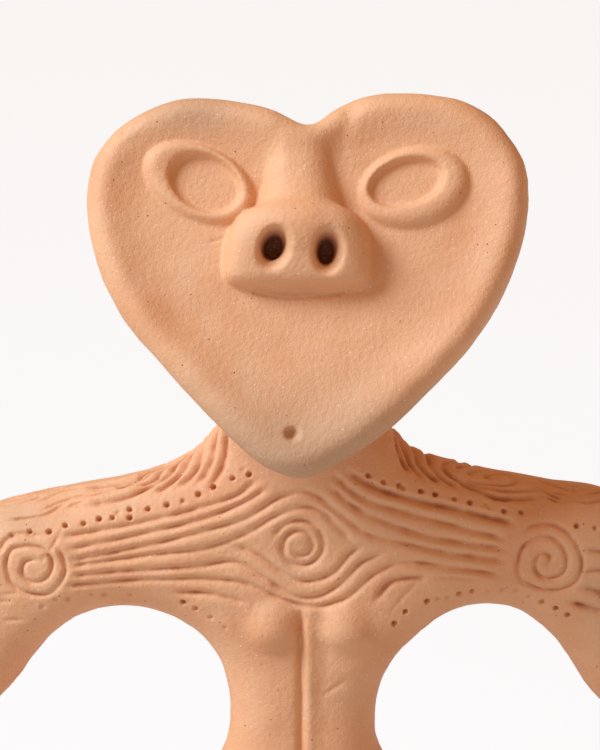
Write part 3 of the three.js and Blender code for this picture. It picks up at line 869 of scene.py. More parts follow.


# All the marks that the photograph shows were read off it and turned into these units. Those
# of the hips and the back, which it does not show, are made up in keeping.
# Lines over the chest, as they lie on a sheet that is tipped back by the same angle as the view.
CHEST_LINES: Sequence[Sequence[Point]] = (
    ((-66.8, 176.4), (-47, 180), (-28.3, 184.6), (-18, 188.2), (-12.2, 192.6)),
    ((-65.2, 172.8), (-46, 177), (-28.3, 181.3), (-16.5, 186), (-9.4, 190.4)),
    ((-64.4, 169.8), (-47, 173.2), (-28.3, 177.8), (-15.7, 181.8), (-5.8, 187.7), (1.4, 188.8),
     (9.9, 183.2), (18.4, 177), (26.5, 175), (44, 171.6), (56, 169.8)),
    ((-64.4, 168.3), (-42, 171.4), (-26.8, 173.4), (-15.7, 177.5), (-8, 182.1), (0, 184.8),
     (5.8, 183), (11.5, 177.4), (13.8, 175.4)),
    ((-18.7, 174.2), (-11.3, 171), (-5.8, 166.8), (0, 164.2), (7.7, 166.2), (13.2, 172),
     (16.6, 174.4)),
    ((-64, 165.7), (-42, 167.4), (-28.3, 168.4), (-18.5, 169.5), (-10, 164.8), (-3, 160.4),
     (4.1, 160), (10.5, 163.6), (16, 169.2), (23.1, 172.6)),
    ((-66, 162.9), (-42, 164.5), (-26.8, 164.8), (-15.7, 163.6), (-6, 159.4), (2.8, 157.2),
     (11.8, 159.6), (20.4, 166.5), (27.2, 169.4), (44, 167.6), (55.4, 165.5)),
    ((-36, 161), (-26, 160.8), (-15.5, 158.2)),
    ((8.3, 194.2), (14.6, 188.3), (21, 185.6), (32, 182.4), (55.6, 176)),
    ((7.2, 190.6), (14.6, 184.6), (22, 181), (34, 177), (56, 173.2)),
    ((76.7, 166), (82, 167), (90, 166)),
    ((77, 173), (83, 172), (90, 170)),
)
DEEP_LINES: Sequence[Sequence[Point]] = (
    ((12, 194.8), (20.4, 190), (28.6, 187.5), (41.5, 184.4), (58.6, 180.2)),
    ((19.8, 158.9), (23.9, 163.6), (28, 164.8), (35, 165.4)),
    ((76.7, 162), (81.7, 161), (88, 157.5), (93, 151)),
    ((73, 158.4), (78, 156.8), (84, 155)),
)
FAINT_LINES: Sequence[Sequence[Point]] = (
    ((-0.9, 156), (-0.7, 148), (-0.5, 138), (-0.4, 120), (-0.4, 112)),
    ((5.8, 132.2), (9.4, 134.8), (11.4, 136.2)),
    ((35, 165.4), (41.5, 165.4), (48.7, 165)),
    ((31.6, 164.2), (24.5, 156.5)),
    ((-83.3, 153.3), (-77, 153.5)),
    ((-83.3, 170.6), (-80, 171)),
    ((-83.3, 160.4), (-77.2, 161.2)),
    ((-66.5, 178.6), (-69.8, 172.6), (-72.9, 169.2)),
    ((-56.3, 176.9), (-56.1, 174.4), (-56.3, 172.5)),
    ((-38.5, 180.8), (-37.4, 178.8), (-36, 177.7)),
    ((-85.5, 158.8), (-83.3, 158.6), (-80.6, 158.6)),
)
# Short cuts that start behind the shoulders' crest and fan down their front, and how far they are
# carried on over it.
OVER_CREST = 9.0
OVER_CUTS: Sequence[Sequence[Point]] = (
    ((-21.1, 204.9), (-21.3, 202.2), (-21.4, 200), (-22, 197), (-22.8, 194.8), (-23.9, 192.8),
     (-25, 190.9), (-25.7, 189.8)),
    ((-24.7, 201.7), (-25, 198.3), (-25.8, 195.9), (-26.9, 193.9), (-28.3, 192.3), (-29.1,
     190.9)),
    ((-28.2, 199.2), (-28.6, 197), (-29.4, 195.1), (-31, 193.1), (-33, 191.5), (-34.9, 190.1)),
    ((-31.7, 197.5), (-32.7, 195.3), (-34.1, 193.7), (-36.5, 191.8), (-38.7, 190.1), (-41.5,
     188.7)),
    ((-35.4, 195.9), (-36.5, 194.2), (-38.5, 192.8), (-41.5, 191.2), (-44.8, 189.6), (-47.5,
     188.2), (-50.8, 187.1), (-55.8, 186), (-59.1, 185.4)),
    ((-39.2, 194.6), (-40.4, 193.1), (-42.6, 192), (-45.3, 191.2), (-47, 190.7)),
    ((-41.8, 194.4), (-44, 193.1), (-46.7, 192), (-49.7, 190.9), (-53, 189.8)),
    ((-44, 194.2), (-45.9, 192.8), (-49.2, 191.9), (-52.5, 191.1), (-56.3, 190.4), (-60.2,
     189.8)),
    ((25.9, 204.1), (26.4, 201.7), (27.1, 199.2), (27.9, 197), (29.2, 195.1), (30.4, 193.8)),
    ((28.4, 200.6), (29.5, 197.8), (30.8, 195.3), (32.2, 193.7), (33.3, 192)),
    ((31.4, 199.4), (31.9, 197.2), (33, 195.6), (34.4, 194.2), (36.1, 192.8), (37.7, 191.5),
     (38.5, 190.9)),
    ((35, 198.1), (35.2, 196.4), (36.3, 194.8), (37.7, 193.4), (39.6, 192), (41.6, 190.9),
     (43.5, 189.8)),
    ((41.8, 197.1), (39.4, 196.8), (38.9, 195.9), (39.4, 194.8), (40.5, 193.7), (42.4, 192.6),
     (44.6, 191.2), (46.8, 190.1), (49, 189.3), (51.5, 188.2), (54.2, 187.3), (57.5, 187.2),
     (61.4, 187.3), (65.5, 187.8)),
    ((45.1, 196.2), (42.9, 195.7), (42.2, 194.8)),
)
# The flattened spiral on top of the left shoulder.
TOP_SPIRAL: Sequence[Sequence[Point]] = (
    ((42.9, 193), (44.9, 192.2), (47.1, 191.2), (49.8, 190.4), (52.8, 189.9), (56.4, 189.4),
     (59.7, 189.3), (63, 189.3), (65.5, 189.7), (67.1, 189), (69.6, 187.9), (71.8, 187.1),
     (73.7, 186.7)),
    ((43.5, 193.5), (45.1, 192.7), (47.3, 192), (50.1, 191.5), (52.8, 191.2), (55.3, 191),
     (58.1, 191.2), (58.9, 192), (58.1, 192.8), (56.4, 193.5), (54.2, 193.9), (52, 193.9),
     (50.6, 193.4), (51.5, 192.8), (53.7, 192.6)),
    ((52, 194.6), (49.3, 194.8), (47.1, 194.6), (45.8, 194.1), (46.5, 193.4), (48.2, 193)),
)
# The fine lines along the top of both shoulders.
TOP_HAIRS: Sequence[Sequence[Point]] = (
    ((66, 187.9), (68, 187.1), (69.9, 186.4), (72.4, 185.7)),
    ((62.5, 190.9), (64.1, 190.2), (66.6, 189.3), (68.8, 188.9), (71.5, 188.4), (74.3, 187.6)),
    ((64.1, 192), (66.6, 191.1), (69.6, 190.4), (72.4, 189.6), (75.1, 189.1), (77.6, 189.3)),
    ((73.2, 190.4), (75.1, 190.2), (77, 190.3)),
    ((75.4, 186.5), (78.4, 185.9), (81.7, 186.1), (85.6, 186.8)),
    ((78.7, 187.8), (80.3, 188.3), (82.8, 188.7), (86.1, 188.7)),
    ((-44.8, 193.8), (-48.6, 192.7), (-53, 191.8), (-58, 191.1)),
    ((-50.3, 190.8), (-54.7, 189.7), (-59.1, 188.9)),
    ((-50.8, 189.7), (-54.7, 188.6), (-60.2, 187.6), (-65.1, 186.8)),
    ((-58.5, 188.2), (-62.9, 187.3), (-66.8, 186.2), (-70.1, 184.9), (-72.3, 183.8)),
    ((-59.6, 189.8), (-65.1, 189), (-69.5, 187.6), (-73.4, 186)),
    ((-65.7, 189.7), (-71.2, 188.7), (-77.2, 187.1), (-82.2, 186)),
    ((-71.2, 187.6), (-75.6, 186.4), (-80, 185.3), (-83.3, 184.6)),
    ((-75, 188.2), (-79.5, 187.2), (-83.3, 186.5), (-86.6, 186)),
    ((-65.1, 185.6), (-67.9, 184.3), (-71.2, 182.7), (-73.4, 182.1), (-77.8, 181.6), (-82.2,
     181)),
    ((-59.6, 186.1), (-62.9, 185.4), (-66.2, 184.3)),
)
# The spirals on the arms as the hand drew them, from the middle out.
HAND_SPIRALS: Sequence[Sequence[Point]] = (
    ((-73.9, 168.9), (-73.4, 169.8), (-75, 170), (-76.4, 169.6), (-77.2, 168.7), (-77.5, 167.3),
     (-77.2, 165.9), (-76.4, 164.8), (-75, 164), (-73.4, 164), (-71.8, 164.5), (-70.4, 165.6),
     (-69.4, 167.3), (-69.1, 168.9), (-69.5, 170.6), (-70.4, 171.9), (-72, 173.2), (-73.9,
     173.7), (-75.9, 174), (-77.8, 173.7), (-80, 173.2), (-81.1, 171.9), (-81.8, 170.3), (-81.9,
     168.4), (-81.4, 166.2), (-80.8, 164.2), (-79.5, 162.6), (-77.8, 161.5), (-75.6, 160.7),
     (-72.8, 160.4), (-70.6, 160.7), (-68.7, 161.8), (-67.1, 163.7), (-66, 165.6), (-65.4,
     167.6), (-65.7, 169.5), (-66.5, 171.7), (-67.6, 173.3), (-68.3, 174.4)),
    ((67.8, 168.1), (67.7, 169.2), (68.4, 170), (68.1, 171.1), (67.1, 171.8), (65.8, 171.9),
     (64.9, 171.1), (64.2, 169.8), (64.1, 168.1), (64.7, 166.4), (65.8, 165.3), (67.7, 164.9),
     (69.6, 165.1), (71.3, 165.9), (72.4, 167.3), (72.9, 168.9), (72.8, 170.8), (72.1, 172.8),
     (71, 174.4), (69.6, 175.7), (68, 176.5), (66, 176.8), (64.1, 176.3), (62.5, 175.4), (60.8,
     173.9), (60, 172.2), (59.6, 170.3), (59.3, 168.1), (59.6, 165.9), (60.5, 164.2), (62.2,
     163.2), (64.1, 162.1), (66, 161.5), (68.2, 161.4), (70.7, 161.6), (72.9, 162.3), (74.6,
     163.2), (75.9, 164.5), (76.8, 166.4), (77.2, 168.7), (76.9, 170.8), (76.2, 173.1), (75.1,
     175.2), (73.7, 177), (71.8, 178.6), (69.6, 179.7), (67.1, 180.1), (64.7, 179.9), (62.5,
     179.4), (60.8, 178.3)),
    ((-84.4, 171.4), (-83.3, 172.8), (-82.5, 175), (-80.5, 176.6), (-77.8, 177.2), (-74.5, 177),
     (-71.5, 176.6)),
)
# Rows of pits, each place its own.
PITS: Sequence[Sequence[Point]] = (
    ((-80.5, 176.8), (-75.4, 178), (-70, 178), (-65.5, 179.7), (-60.3, 180.2), (-56, 181.5),
     (-52.3, 181.8), (-47.6, 181.9), (-47.6, 184.2), (-42.6, 184.4), (-37.3, 185.5), (-33,
     186.6), (-28.7, 188.4), (-24.6, 190.4), (-19.2, 192.8), (-14.7, 193.9)),
    ((17.9, 193.7), (22, 191.9), (26.3, 190.9), (27.3, 190.2), (32.4, 189.4), (36.4, 188.5),
     (41.6, 187.2), (45.9, 186.2), (55.4, 183.8), (60.1, 183.4), (75.6, 179.6), (80.7, 179)),
    ((-33.1, 158.4), (-29.6, 156.7), (25.3, 152.6), (28.4, 155.8), (34.3, 158.7), (43.2, 160.9),
     (46.7, 161.6), (66.1, 158.1), (70, 156.4), (73.3, 154.5)),
)
FAINT_PITS: Sequence[Point] = (
    (-16.3, 195.2), (-68.3, 159.3), (-64.8, 159.3), (-58.3, 160.6), (-72.1, 157.2), (-25.4,
    154.2), (-21.5, 151.4), (50.2, 185.7), (51, 184.9), (37.2, 159.6), (39.9, 159.9), (51.1,
    161.7), (55.2, 161.9), (58.9, 161.5), (62.5, 159.8), (-54.8, 160.3), (-47.8, 160.2), (-50.8,
    183.2),
)
# The plainer work over the hips, repeated on both sides, and on the back.
HIP_LINES: Sequence[Sequence[Point]] = (
    ((-3.5, 106), (-18, 101), (-36, 95), (-52, 92.5)),
    ((-3.5, 102.6), (-19, 97.4), (-37, 91.4), (-45, 88.6)),
    ((-3.5, 99.2), (-20, 93.8), (-38, 87)),
    ((-3.5, 76), (-18, 73), (-34, 68), (-44, 64)),
    ((-5, 71.6), (-20, 68), (-36, 62)),
    ((-48, 29), (-59, 27.4), (-70, 29.6)),
    ((-48, 24.6), (-59, 23), (-70, 25.2)),
)
BACK_LINES: Sequence[Sequence[Point]] = (
    ((-8, 187), (-26, 182), (-46, 177), (-60, 172)),
    ((-8, 183), (-26, 178), (-46, 173), (-59, 168.6)),
    ((-8, 171), (-26, 169.6), (-44, 167), (-58, 164)),
    ((-8, 167), (-26, 166), (-44, 163.6)),
    ((-4, 106), (-20, 102), (-38, 96.5)),
    ((-4, 102), (-20, 98), (-38, 92.5)),
    ((-4, 75), (-20, 72), (-36, 66)),
)


def chest_sheet() -> Sheet:
    """Lay out the carving that shows on the chest and shoulders.

    Returns:
        The sheet.
    """
    step = 0.1
    lines = [spline(points, step) for points in CHEST_LINES]
    lines.append(spiral((-0.8, 174.2), (2.0, 7.6), (190, 885), 1.0, step))
    return Sheet((1.0, 0.0, 0.0), FRONT_UP, (-114, 112), (114, 214), 0.1, {
        Tool.LINE: lines,
        Tool.DEEP: [spline(points, step) for points in DEEP_LINES],
        Tool.FINE: [spline(points, step) for points in HAND_SPIRALS],
        Tool.FAINT: [spline(points, step) for points in FAINT_LINES],
        Tool.PIT: [np.array(points) for points in PITS],
        Tool.SOFT_PIT: [np.array(FAINT_PITS)],
    })


def hip_sheet() -> Sheet:
    """Lay out the plainer carving of the hips and thighs.

    Returns:
        The sheet.
    """
    step = 0.2
    both = [points for line in HIP_LINES for points in (line, mirrored(line))]
    lines = [spline(points, step) for points in both]
    lines += [spiral((side * 57, 75), (3, 15), (90 - side * 90, 90 - side * 990), 1.0, step)
              for side in (-1, 1)]
    pits = ((-21, 107.5), (-40, 102.5), (-62, 96), (-76, 84))
    low_pits = ((-14, 64.5), (-26, 60), (-36, 52), (-41, 42))
    return Sheet((1.0, 0.0, 0.0), FRONT_UP, (-92, -8), (92, 112), 0.2, fine=1.05, marks={
        Tool.LINE: lines,
        Tool.DEEP: [spline(((0.2, 104), (0.2, 93)), step)],
        Tool.PIT: [row(points, count, 20 + k) for k, (points, count) in enumerate((
            (pits, 13), (mirrored(pits), 13), (low_pits, 7), (mirrored(low_pits), 7)))],
    })


def shoulder_sheet(distance: Callable[[Array], Array]) -> Sheet:
    """Lay out the cuts that run over the shoulders' crest, on a sheet tipped half way back.

    The cuts are drawn as they look from the front, found on the clay there, and laid flat again
    as they look from higher up. Those that start behind the crest are carried on over it.

    Args:
        distance: The distance to the plain figure.

    Returns:
        The sheet.
    """
    up = (0.0, math.sin(STEEP), math.cos(STEEP))

    def seen_from_above(points: Sequence[Point], beyond: float) -> Array:
        """Lay one cut flat on the steep sheet, with its start carried on by a length.

        Args:
            points: The cut as it looks from the front.
            beyond: How far its start is carried on.

        Returns:
            The cut on the steep sheet.
        """
        found = lift(distance, np.array(points))
        flat = np.stack([found[:, 0], found @ np.array(up)], axis=1)
        way = flat[0] - flat[2]
        start = flat[0] + beyond * way / np.linalg.norm(way)
        path = [tuple(start)] if beyond else []
        return spline(path + [tuple(point) for point in flat], 0.1)

    return Sheet((1.0, 0.0, 0.0), up, (-96, 100), (96, 168), 0.1, fine=0.41, marks={
        Tool.LINE: [seen_from_above(points, 0.0) for points in TOP_SPIRAL],
        Tool.HAIR: [seen_from_above(points, 0.0) for points in TOP_HAIRS],
        Tool.DEEP: [seen_from_above(points, OVER_CREST) for points in OVER_CUTS],
    })


def back_sheet() -> Sheet:
    """Lay out the plain lines and spirals of the back.

    Returns:
        The sheet.
    """
    step = 0.2
    both = [points for line in BACK_LINES for points in (line, mirrored(line))]
    lines = [spline(points, step) for points in both]
    lines += [spiral((side * 70, 166), (2.4, 9), (90 - side * 90, 90 - side * 900), 0.95, step)
              for side in (-1, 1)]
    lines += [spiral((side * 57, 78), (3, 14), (90 - side * 90, 90 - side * 900), 1.0, step)
              for side in (-1, 1)]
    return Sheet((-1.0, 0.0, 0.0), (0.0, 0.0, 1.0), (-114, 0), (114, 208), 0.2, fine=1.15, marks={
        Tool.LINE: lines,
        Tool.DEEP: [spline(((0, 178), (0, 120), (0, 96)), step)],
    })


def skin_net(distance: Callable[[Array], Array], low: Point, high: Point,
             cell: float) -> tuple[Array, Array]:
    """Cover a distance's zero level with a closed net of triangles.

    Each cell of a grid that the level runs through gets one point, the mean of the places where
    its edges cross the level, and each crossed edge gets the quad of its four cells.

    Args:
        distance: The distance, below zero inside.
        low: One corner of the searched box.
        high: The other corner.
        cell: The grid's step.

    Returns:
        The points and the triangles, facing outwards.
    """
    axes = [np.arange(l, h + cell, cell) for l, h in zip(low, high)]
    size = [len(axis) for axis in axes]
    nodes = np.stack(np.meshgrid(*axes, indexing="ij"), axis=-1).reshape(-1, 3)
    value = distance(nodes).reshape(size)
    total = np.zeros((*(n - 1 for n in size), 3))
    count = np.zeros([n - 1 for n in size])
    crossings = []
    for axis in range(3):
        a = np.take(value, range(size[axis] - 1), axis)
        b = np.take(value, range(1, size[axis]), axis)
        crossed = (a < 0) != (b < 0)
        share = np.where(crossed, a / np.where(crossed, a - b, 1), 0)
        crossings.append((crossed, a < 0))
        others = [k for k in range(3) if k != axis]
        for i in (0, 1):
            for j in (0, 1):
                window = [slice(None)] * 3
                window[others[0]] = slice(i, i + size[others[0]] - 1)
                window[others[1]] = slice(j, j + size[others[1]] - 1)
                hit = crossed[tuple(window)]
                count += hit
                total[..., axis] += np.where(hit, share[tuple(window)], 0)
                total[..., others[0]] += hit * i
                total[..., others[1]] += hit * j
    used = count > 0
    number = np.full(used.shape, -1)
    number[used] = np.arange(used.sum())
    corner = np.stack(np.nonzero(used), axis=1)
    points = (corner + total[used] / count[used][:, None]) * cell + np.array(low)
    quads = []
    for axis, (crossed, inside) in enumerate(crossings):
        b, c = [(1, 2), (2, 0), (0, 1)][axis]
        where = np.stack(np.nonzero(crossed), axis=1)
        where = where[(where[:, b] > 0) & (where[:, c] > 0)]
        step_b, step_c = np.eye(3, dtype=int)[b], np.eye(3, dtype=int)[c]
        ring = [where - step_b - step_c, where - step_c, where, where - step_b]
        quad = np.stack([number[tuple(cells.T)] for cells in ring], axis=1)
        turned = ~inside[tuple(where.T)]
        quad[turned] = quad[turned][:, ::-1]
        quads.append(quad)
    quad = np.vstack(quads)
    return points, np.vstack([quad[:, [0, 1, 2]], quad[:, [0, 2, 3]]])


def slope(distance: Callable[[Array], Array], p: Array, reach: float = 0.15) -> Array:
    """Give a distance's steepest way up at each place, by differences over a small reach."""
    steps = [distance(p + reach * axis) - distance(p - reach * axis) for axis in np.eye(3)]
    return np.stack(steps, axis=1) / (2 * reach)


def settle(distance: Callable[[Array], Array], p: Array, rounds: int) -> Array:
    """Move places on to a distance's zero level, by p - f g / |g|^2 a few times.

    Args:
        distance: The distance, f with steepest way g.
        p: The places.
        rounds: How often they are moved.

    Returns:
        The moved places.
    """
    for _ in range(rounds):
        g = slope(distance, p)
        p = p - g * (distance(p) / np.maximum((g * g).sum(axis=1), 1e-6))[:, None]
    return p


def edges_of(faces: Array) -> tuple[Array, Array]:
    """List a net's edges once each, and which three edges each face has.

    Args:
        faces: The net's triangles.

    Returns:
        The edges as pairs of points, and the numbers of the edges of each face.
    """
    pair = np.sort(faces[:, [0, 1, 1, 2, 2, 0]].reshape(-1, 2), axis=1)
    size = int(faces.max()) + 1
    key, which = np.unique(pair[:, 0].astype(np.int64) * size + pair[:, 1], return_inverse=True)
    return np.stack([key // size, key % size], axis=1), which.reshape(-1, 3)


def split(points: Array, faces: Array, too_long: Callable[[Array], Array]) -> tuple[Array, Array]:
    """Halve the edges that are too long, and cut the faces on both sides of them to match.

    A face with one halved edge becomes two, with two halved edges three and with all three four.
    A face's longest edge is halved too where it is much longer than one that is, which keeps
    faces plump.

    Args:
        points: The net's points.
        faces: Its triangles.
        too_long: Tells which edges, given as pairs of points, are too long.

    Returns:
        The points with the edges' new middles at their end, and the new triangles.
    """
    edges, of_face = edges_of(faces)
    halved = too_long(edges)
    length = np.linalg.norm(points[edges[:, 0]] - points[edges[:, 1]], axis=1)
    longest = of_face[np.arange(len(faces)), length[of_face].argmax(axis=1)]
    for _ in range(2):
        most = np.where(halved[of_face], length[of_face], 0).max(axis=1)
        halved[longest[(most > 0) & (length[longest] > 1.25 * most)]] = True
    middle = np.full(len(edges), -1)
    middle[halved] = len(points) + np.arange(halved.sum())
    points = np.vstack([points, points[edges[halved]].mean(axis=1)])
    m = middle[of_face]
    code = (m >= 0) @ np.array([1, 2, 4])
    # Corners 0 to 2 are the face's own, and 3 to 5 the middles of its edges 01, 12 and 20.
    cuts = {
        0: ((0, 1, 2),),
        1: ((0, 3, 2), (3, 1, 2)),
        2: ((0, 1, 4), (0, 4, 2)),
        4: ((0, 1, 5), (5, 1, 2)),
        3: ((3, 1, 4), (0, 3, 4), (0, 4, 2)),
        6: ((5, 4, 2), (0, 1, 4), (0, 4, 5)),
        5: ((0, 3, 5), (3, 1, 2), (3, 2, 5)),
        7: ((0, 3, 5), (3, 1, 4), (5, 4, 2), (3, 4, 5)),
    }
    six = np.hstack([faces, m])
    pieces = [six[code == key][:, list(cut)] for key, parts in cuts.items() for cut in parts]
    return points, np.vstack(pieces)


def relax(points: Array, faces: Array, normal: Array, share: float) -> Array:
    """Ease points towards the middle of their neighbours, only along the skin.

    Args:
        points: The net's points.
        faces: Its triangles.
        normal: The skin's directions at the points.
        share: How far of the way they go.

    Returns:
        The moved points.
    """
    edges, _ = edges_of(faces)
    both = np.vstack([edges, edges[:, ::-1]])
    count = np.bincount(both[:, 0], minlength=len(points))
    mean = np.stack([np.bincount(both[:, 0], weights=points[both[:, 1], k], minlength=len(points))
                     for k in range(3)], axis=1) / np.maximum(count, 1)[:, None]
    move = mean - points
    move -= normal * (move * normal).sum(axis=1, keepdims=True)
    return points + share * move


@dataclass
class Figurine:
    """The whole figure: one skin over limbs, neck and head, with all that the hand did to it."""

    body: Body = field(default_factory=Body)
    neck: Neck = field(default_factory=Neck)
    head: Head = field(default_factory=Head)
    # The searched box, the first net's step, and the longest edges on plain clay.
    low: Point = (-116, -60, -4)
    high: Point = (116, 30, 312)
    cell: float = 2.4
    coarse: float = 2.8
    # How far an edge may pass its wanted length, and how bent and long it may be at most.
    slack: float = 1.4
    most_bend: float = 0.05
    bent_length: float = 1.8
    # Splitting ends after this many rounds, or when a round adds fewer points than this.
    rounds: int = 6
    few: int = 500
    breasts: Sequence[Point] = ((-8.4, 150.8, 7.3), (11.7, 150.4, 7.3))
    breast_rise: float = 3.3
    # Down the middle line: place across, half width, rise, and the height that it starts from.
    middle_line: Sequence[Point] = (
        (1.9, 1.7, 1.0, 60), (-0.6, 1.15, -1.15, 60), (4.6, 1.6, -0.5, 128),
    )
    navel: Point = (0.4, 86, 5)
    navel_rise: float = 2.0
    neck_seam: float = 9.0
    head_seam: float = 5.0
    # Unevenness left by the hand: how much, the length of its waves, and its random seed.
    unevenness: Sequence[tuple[float, float, int]] = ((0.2, 20, 1), (0.08, 6, 2))
    shoulder_top: float = 214.0
    # How strong the painted shade in the nostrils is, counted as a depth of cut.
    nostril_shade: float = 3.0
    face_edge: Point = (0.76, 1.9)
    face_detail: float = 11.0
    # Darker patches: middle, two half sizes and strength, on the face and then over the arms. The
    # face's is painted shade inside the top of the left lobe; over the arms, smoked clay high on
    # the left and painted shade low on the right.
    face_shade: tuple[Point, float] = ((-29, 98, 13, 5.5), 0.6)
    arm_smoke_and_shade: Sequence[tuple[Point, float]] = (
        ((-84, 183, 14, 9), 0.4), ((87, 160, 12, 22), 0.45),
    )

    def __post_init__(self) -> None:
        """Lay out the carving on its four sheets."""
        self.sheets = [chest_sheet(), hip_sheet(), shoulder_sheet(self.distance), back_sheet()]

    def distance(self, p: Array) -> Array:
        """Give the distance to the plain figure, its parts joined with soft seams."""
        trunk = join(self.body.distance(p), self.neck.distance(p), self.neck_seam)
        return join(trunk, self.head.distance(p), self.head_seam)

    def swell(self, p: Array, normal: Array) -> Array:
        """Give the low forms on the front: breasts, ridge and grooves, and the navel.

        Args:
            p: Places on the plain skin.
            normal: The skin's directions there.

        Returns:
            How far each place is raised.
        """
        u, v = p[:, 0], p @ np.array(FRONT_UP)
        front = smooth(-(normal @ np.array(FRONT_PRESS)) / 0.5)
        total = np.zeros(len(p))
        for cu, cv, radius in self.breasts:
            drop = v - cv
            away = np.hypot((u - cu) * 0.92, np.where(drop > 0, drop * 0.8, drop * 1.15)) / radius
            dome = np.clip(1 - away ** 2, 0, 1) ** np.where(drop > 0, 1.5, 1.0)
            total += self.breast_rise * dome
        along = smooth((v - 88) / 8) * smooth((158 - v) / 6)
        for place, half, rise, start in self.middle_line:
            below = smooth((v - start) / 20)
            total += along * rise * below * np.exp(-(((u - place) / half) ** 2))
        cu, cv, radius = self.navel
        share = np.hypot(u - cu, v - cv) / radius
        total += self.navel_rise * np.clip(1 - share ** 2, 0, 1) ** 0.7
        return total * front

    def shape(self, p: Array, normal: Array) -> tuple[Array, Array, Array]:
        """Work the clay: raise and press the plain skin.

        Args:
            p: Places on the plain skin.
            normal: The skin's directions there.

        Returns:
            The worked places, how long an edge may be at each, and how deep in a cut each is,
            the nostrils counted as deep, for the painted shade.
        """
        wanted = np.full(len(p), self.coarse)
        cut = np.zeros(len(p))
        face = self.head.front(p, normal)
        uneven = sum(size * ripple(p, length, seed) for size, length, seed in self.unevenness)
        calm = np.where(p[:, 2] > self.shoulder_top, 0.6, 1.0)
        along = self.swell(p, normal) + uneven * calm
        for sheet in self.sheets:
            move, away = sheet.read(p, normal)
            move = move * (1 - face)
            along += move
            cut = np.maximum(cut, -move)
            near_line = sheet.fine + 0.75 * np.clip(away - 0.7, 0, None) + face * 2
            wanted = np.where(away < sheet.reach - 0.1, np.minimum(wanted, near_line), wanted)
        across, up, _ = self.head.local(p)
        height = self.head.relief.at(across, up) * face
        # Painted shade: the nostrils count as deep cuts, so the material darkens them.
        cut = np.maximum(cut, self.nostril_shade * self.head.hollow.at(across, up) * face)
        finest, plain = self.face_edge
        face_wanted = plain - self.face_detail * self.head.detail.at(across, up)
        face_wanted = np.clip(face_wanted, finest, plain)
        wanted = np.where(face > 0.3, np.minimum(wanted, face_wanted), wanted)
        worked = p + normal * along[:, None] + self.head.out * height[:, None]
        worked[:, 2] = np.where(p[:, 2] < 0.3, p[:, 2], worked[:, 2])
        return worked, wanted, cut

    def skin(self) -> tuple[Array, Array, Array]:
        """Make the figure's skin, finer where the clay is worked.

        Returns:
            The points, the triangles, and how deep in a cut each point is, the nostrils counted as
            deep, for the painted shade.
        """
        points, faces = skin_net(self.distance, self.low, self.high, self.cell)
        points = settle(self.distance, points, 4)
        for _ in range(self.rounds):
            normal = self.normals(points)
            worked, wanted, _ = self.shape(points, normal)

            def too_long(edges: Array) -> Array:
                """Compare the worked edges with the length that is wanted at their ends."""
                a, b = edges.T
                length = np.linalg.norm(worked[a] - worked[b], axis=1)
                bend = 1 - (normal[a] * normal[b]).sum(axis=1)
                target = np.minimum(wanted[a], wanted[b])
                bent = (bend > self.most_bend) & (length > self.bent_length)
                return (length > self.slack * target) | bent

            count = len(points)
            points, faces = split(points, faces, too_long)
            points[count:] = settle(self.distance, points[count:], 2)
            log.info("skin: %d points, %d faces", len(points), len(faces))
            if len(points) - count < self.few:
                break
        for _ in range(3):
            points = relax(points, faces, self.normals(points), 0.4)
            points = settle(self.distance, points, 1)
        worked, _, cut = self.shape(points, self.normals(points))
        return worked, faces, cut

    def normals(self, p: Array) -> Array:
        """Give the plain skin's outward directions."""
        g = slope(self.distance, p)
        return g / np.linalg.norm(g, axis=1, keepdims=True)

    def smoke_and_shade(self, p: Array) -> Array:
        """Tell how far the greyish colour is laid on: the smoked chin and left arm, and painted
        shade in a patch inside the top of the left lobe and low on the right arm.

        Args:
            p: Places on the worked skin.

        Returns:
            The colour's share at each place.
        """
        across, up, out = self.head.local(p)
        smoke_and_shade = smooth((34 - up) / 34) * smooth((out + 16) / 5) * 0.75
        form, share = self.face_shade
        smoke_and_shade += share * patch(across, up, form)
        smoke_and_shade = np.where(np.abs(across) < 70, smoke_and_shade, 0) * (up > -6)
        u, v = p[:, 0], p @ np.array(FRONT_UP)
        front = smooth((8 - p[:, 1]) / 14)
        for form, share in self.arm_smoke_and_shade:
            smoke_and_shade = np.maximum(smoke_and_shade, share * front * patch(u, v, form))
        return smoke_and_shade


@dataclass(frozen=True)
class Placement:
    """How the modeller's units become the frame's metres: one scale, and a move on the floor."""

    scale: float
    shift: tuple[float, float]

    @classmethod
    def fit(cls, points: Array, box: Sequence[Sequence[float]]) -> "Placement":
        """Match the points' height to the frame's box and centre them over its middle.

        Args:
            points: Points in the modeller's units.
            box: The frame's box, two corners in metres.

        Returns:
            The placement.
        """
        low, high = (np.array(corner) for corner in box)
        scale = (high[2] - low[2]) / (points[:, 2].max() - points[:, 2].min())
        middle = (points.min(axis=0) + points.max(axis=0))[:2] / 2 * scale
        centre = (low + high)[:2] / 2
        return cls(float(scale), (float(centre[0] - middle[0]), float(centre[1] - middle[1])))

    def place(self, points: Array) -> Array:
        """Turn points in the modeller's units into metres in the frame."""
        return points * self.scale + np.array((*self.shift, 0.0))


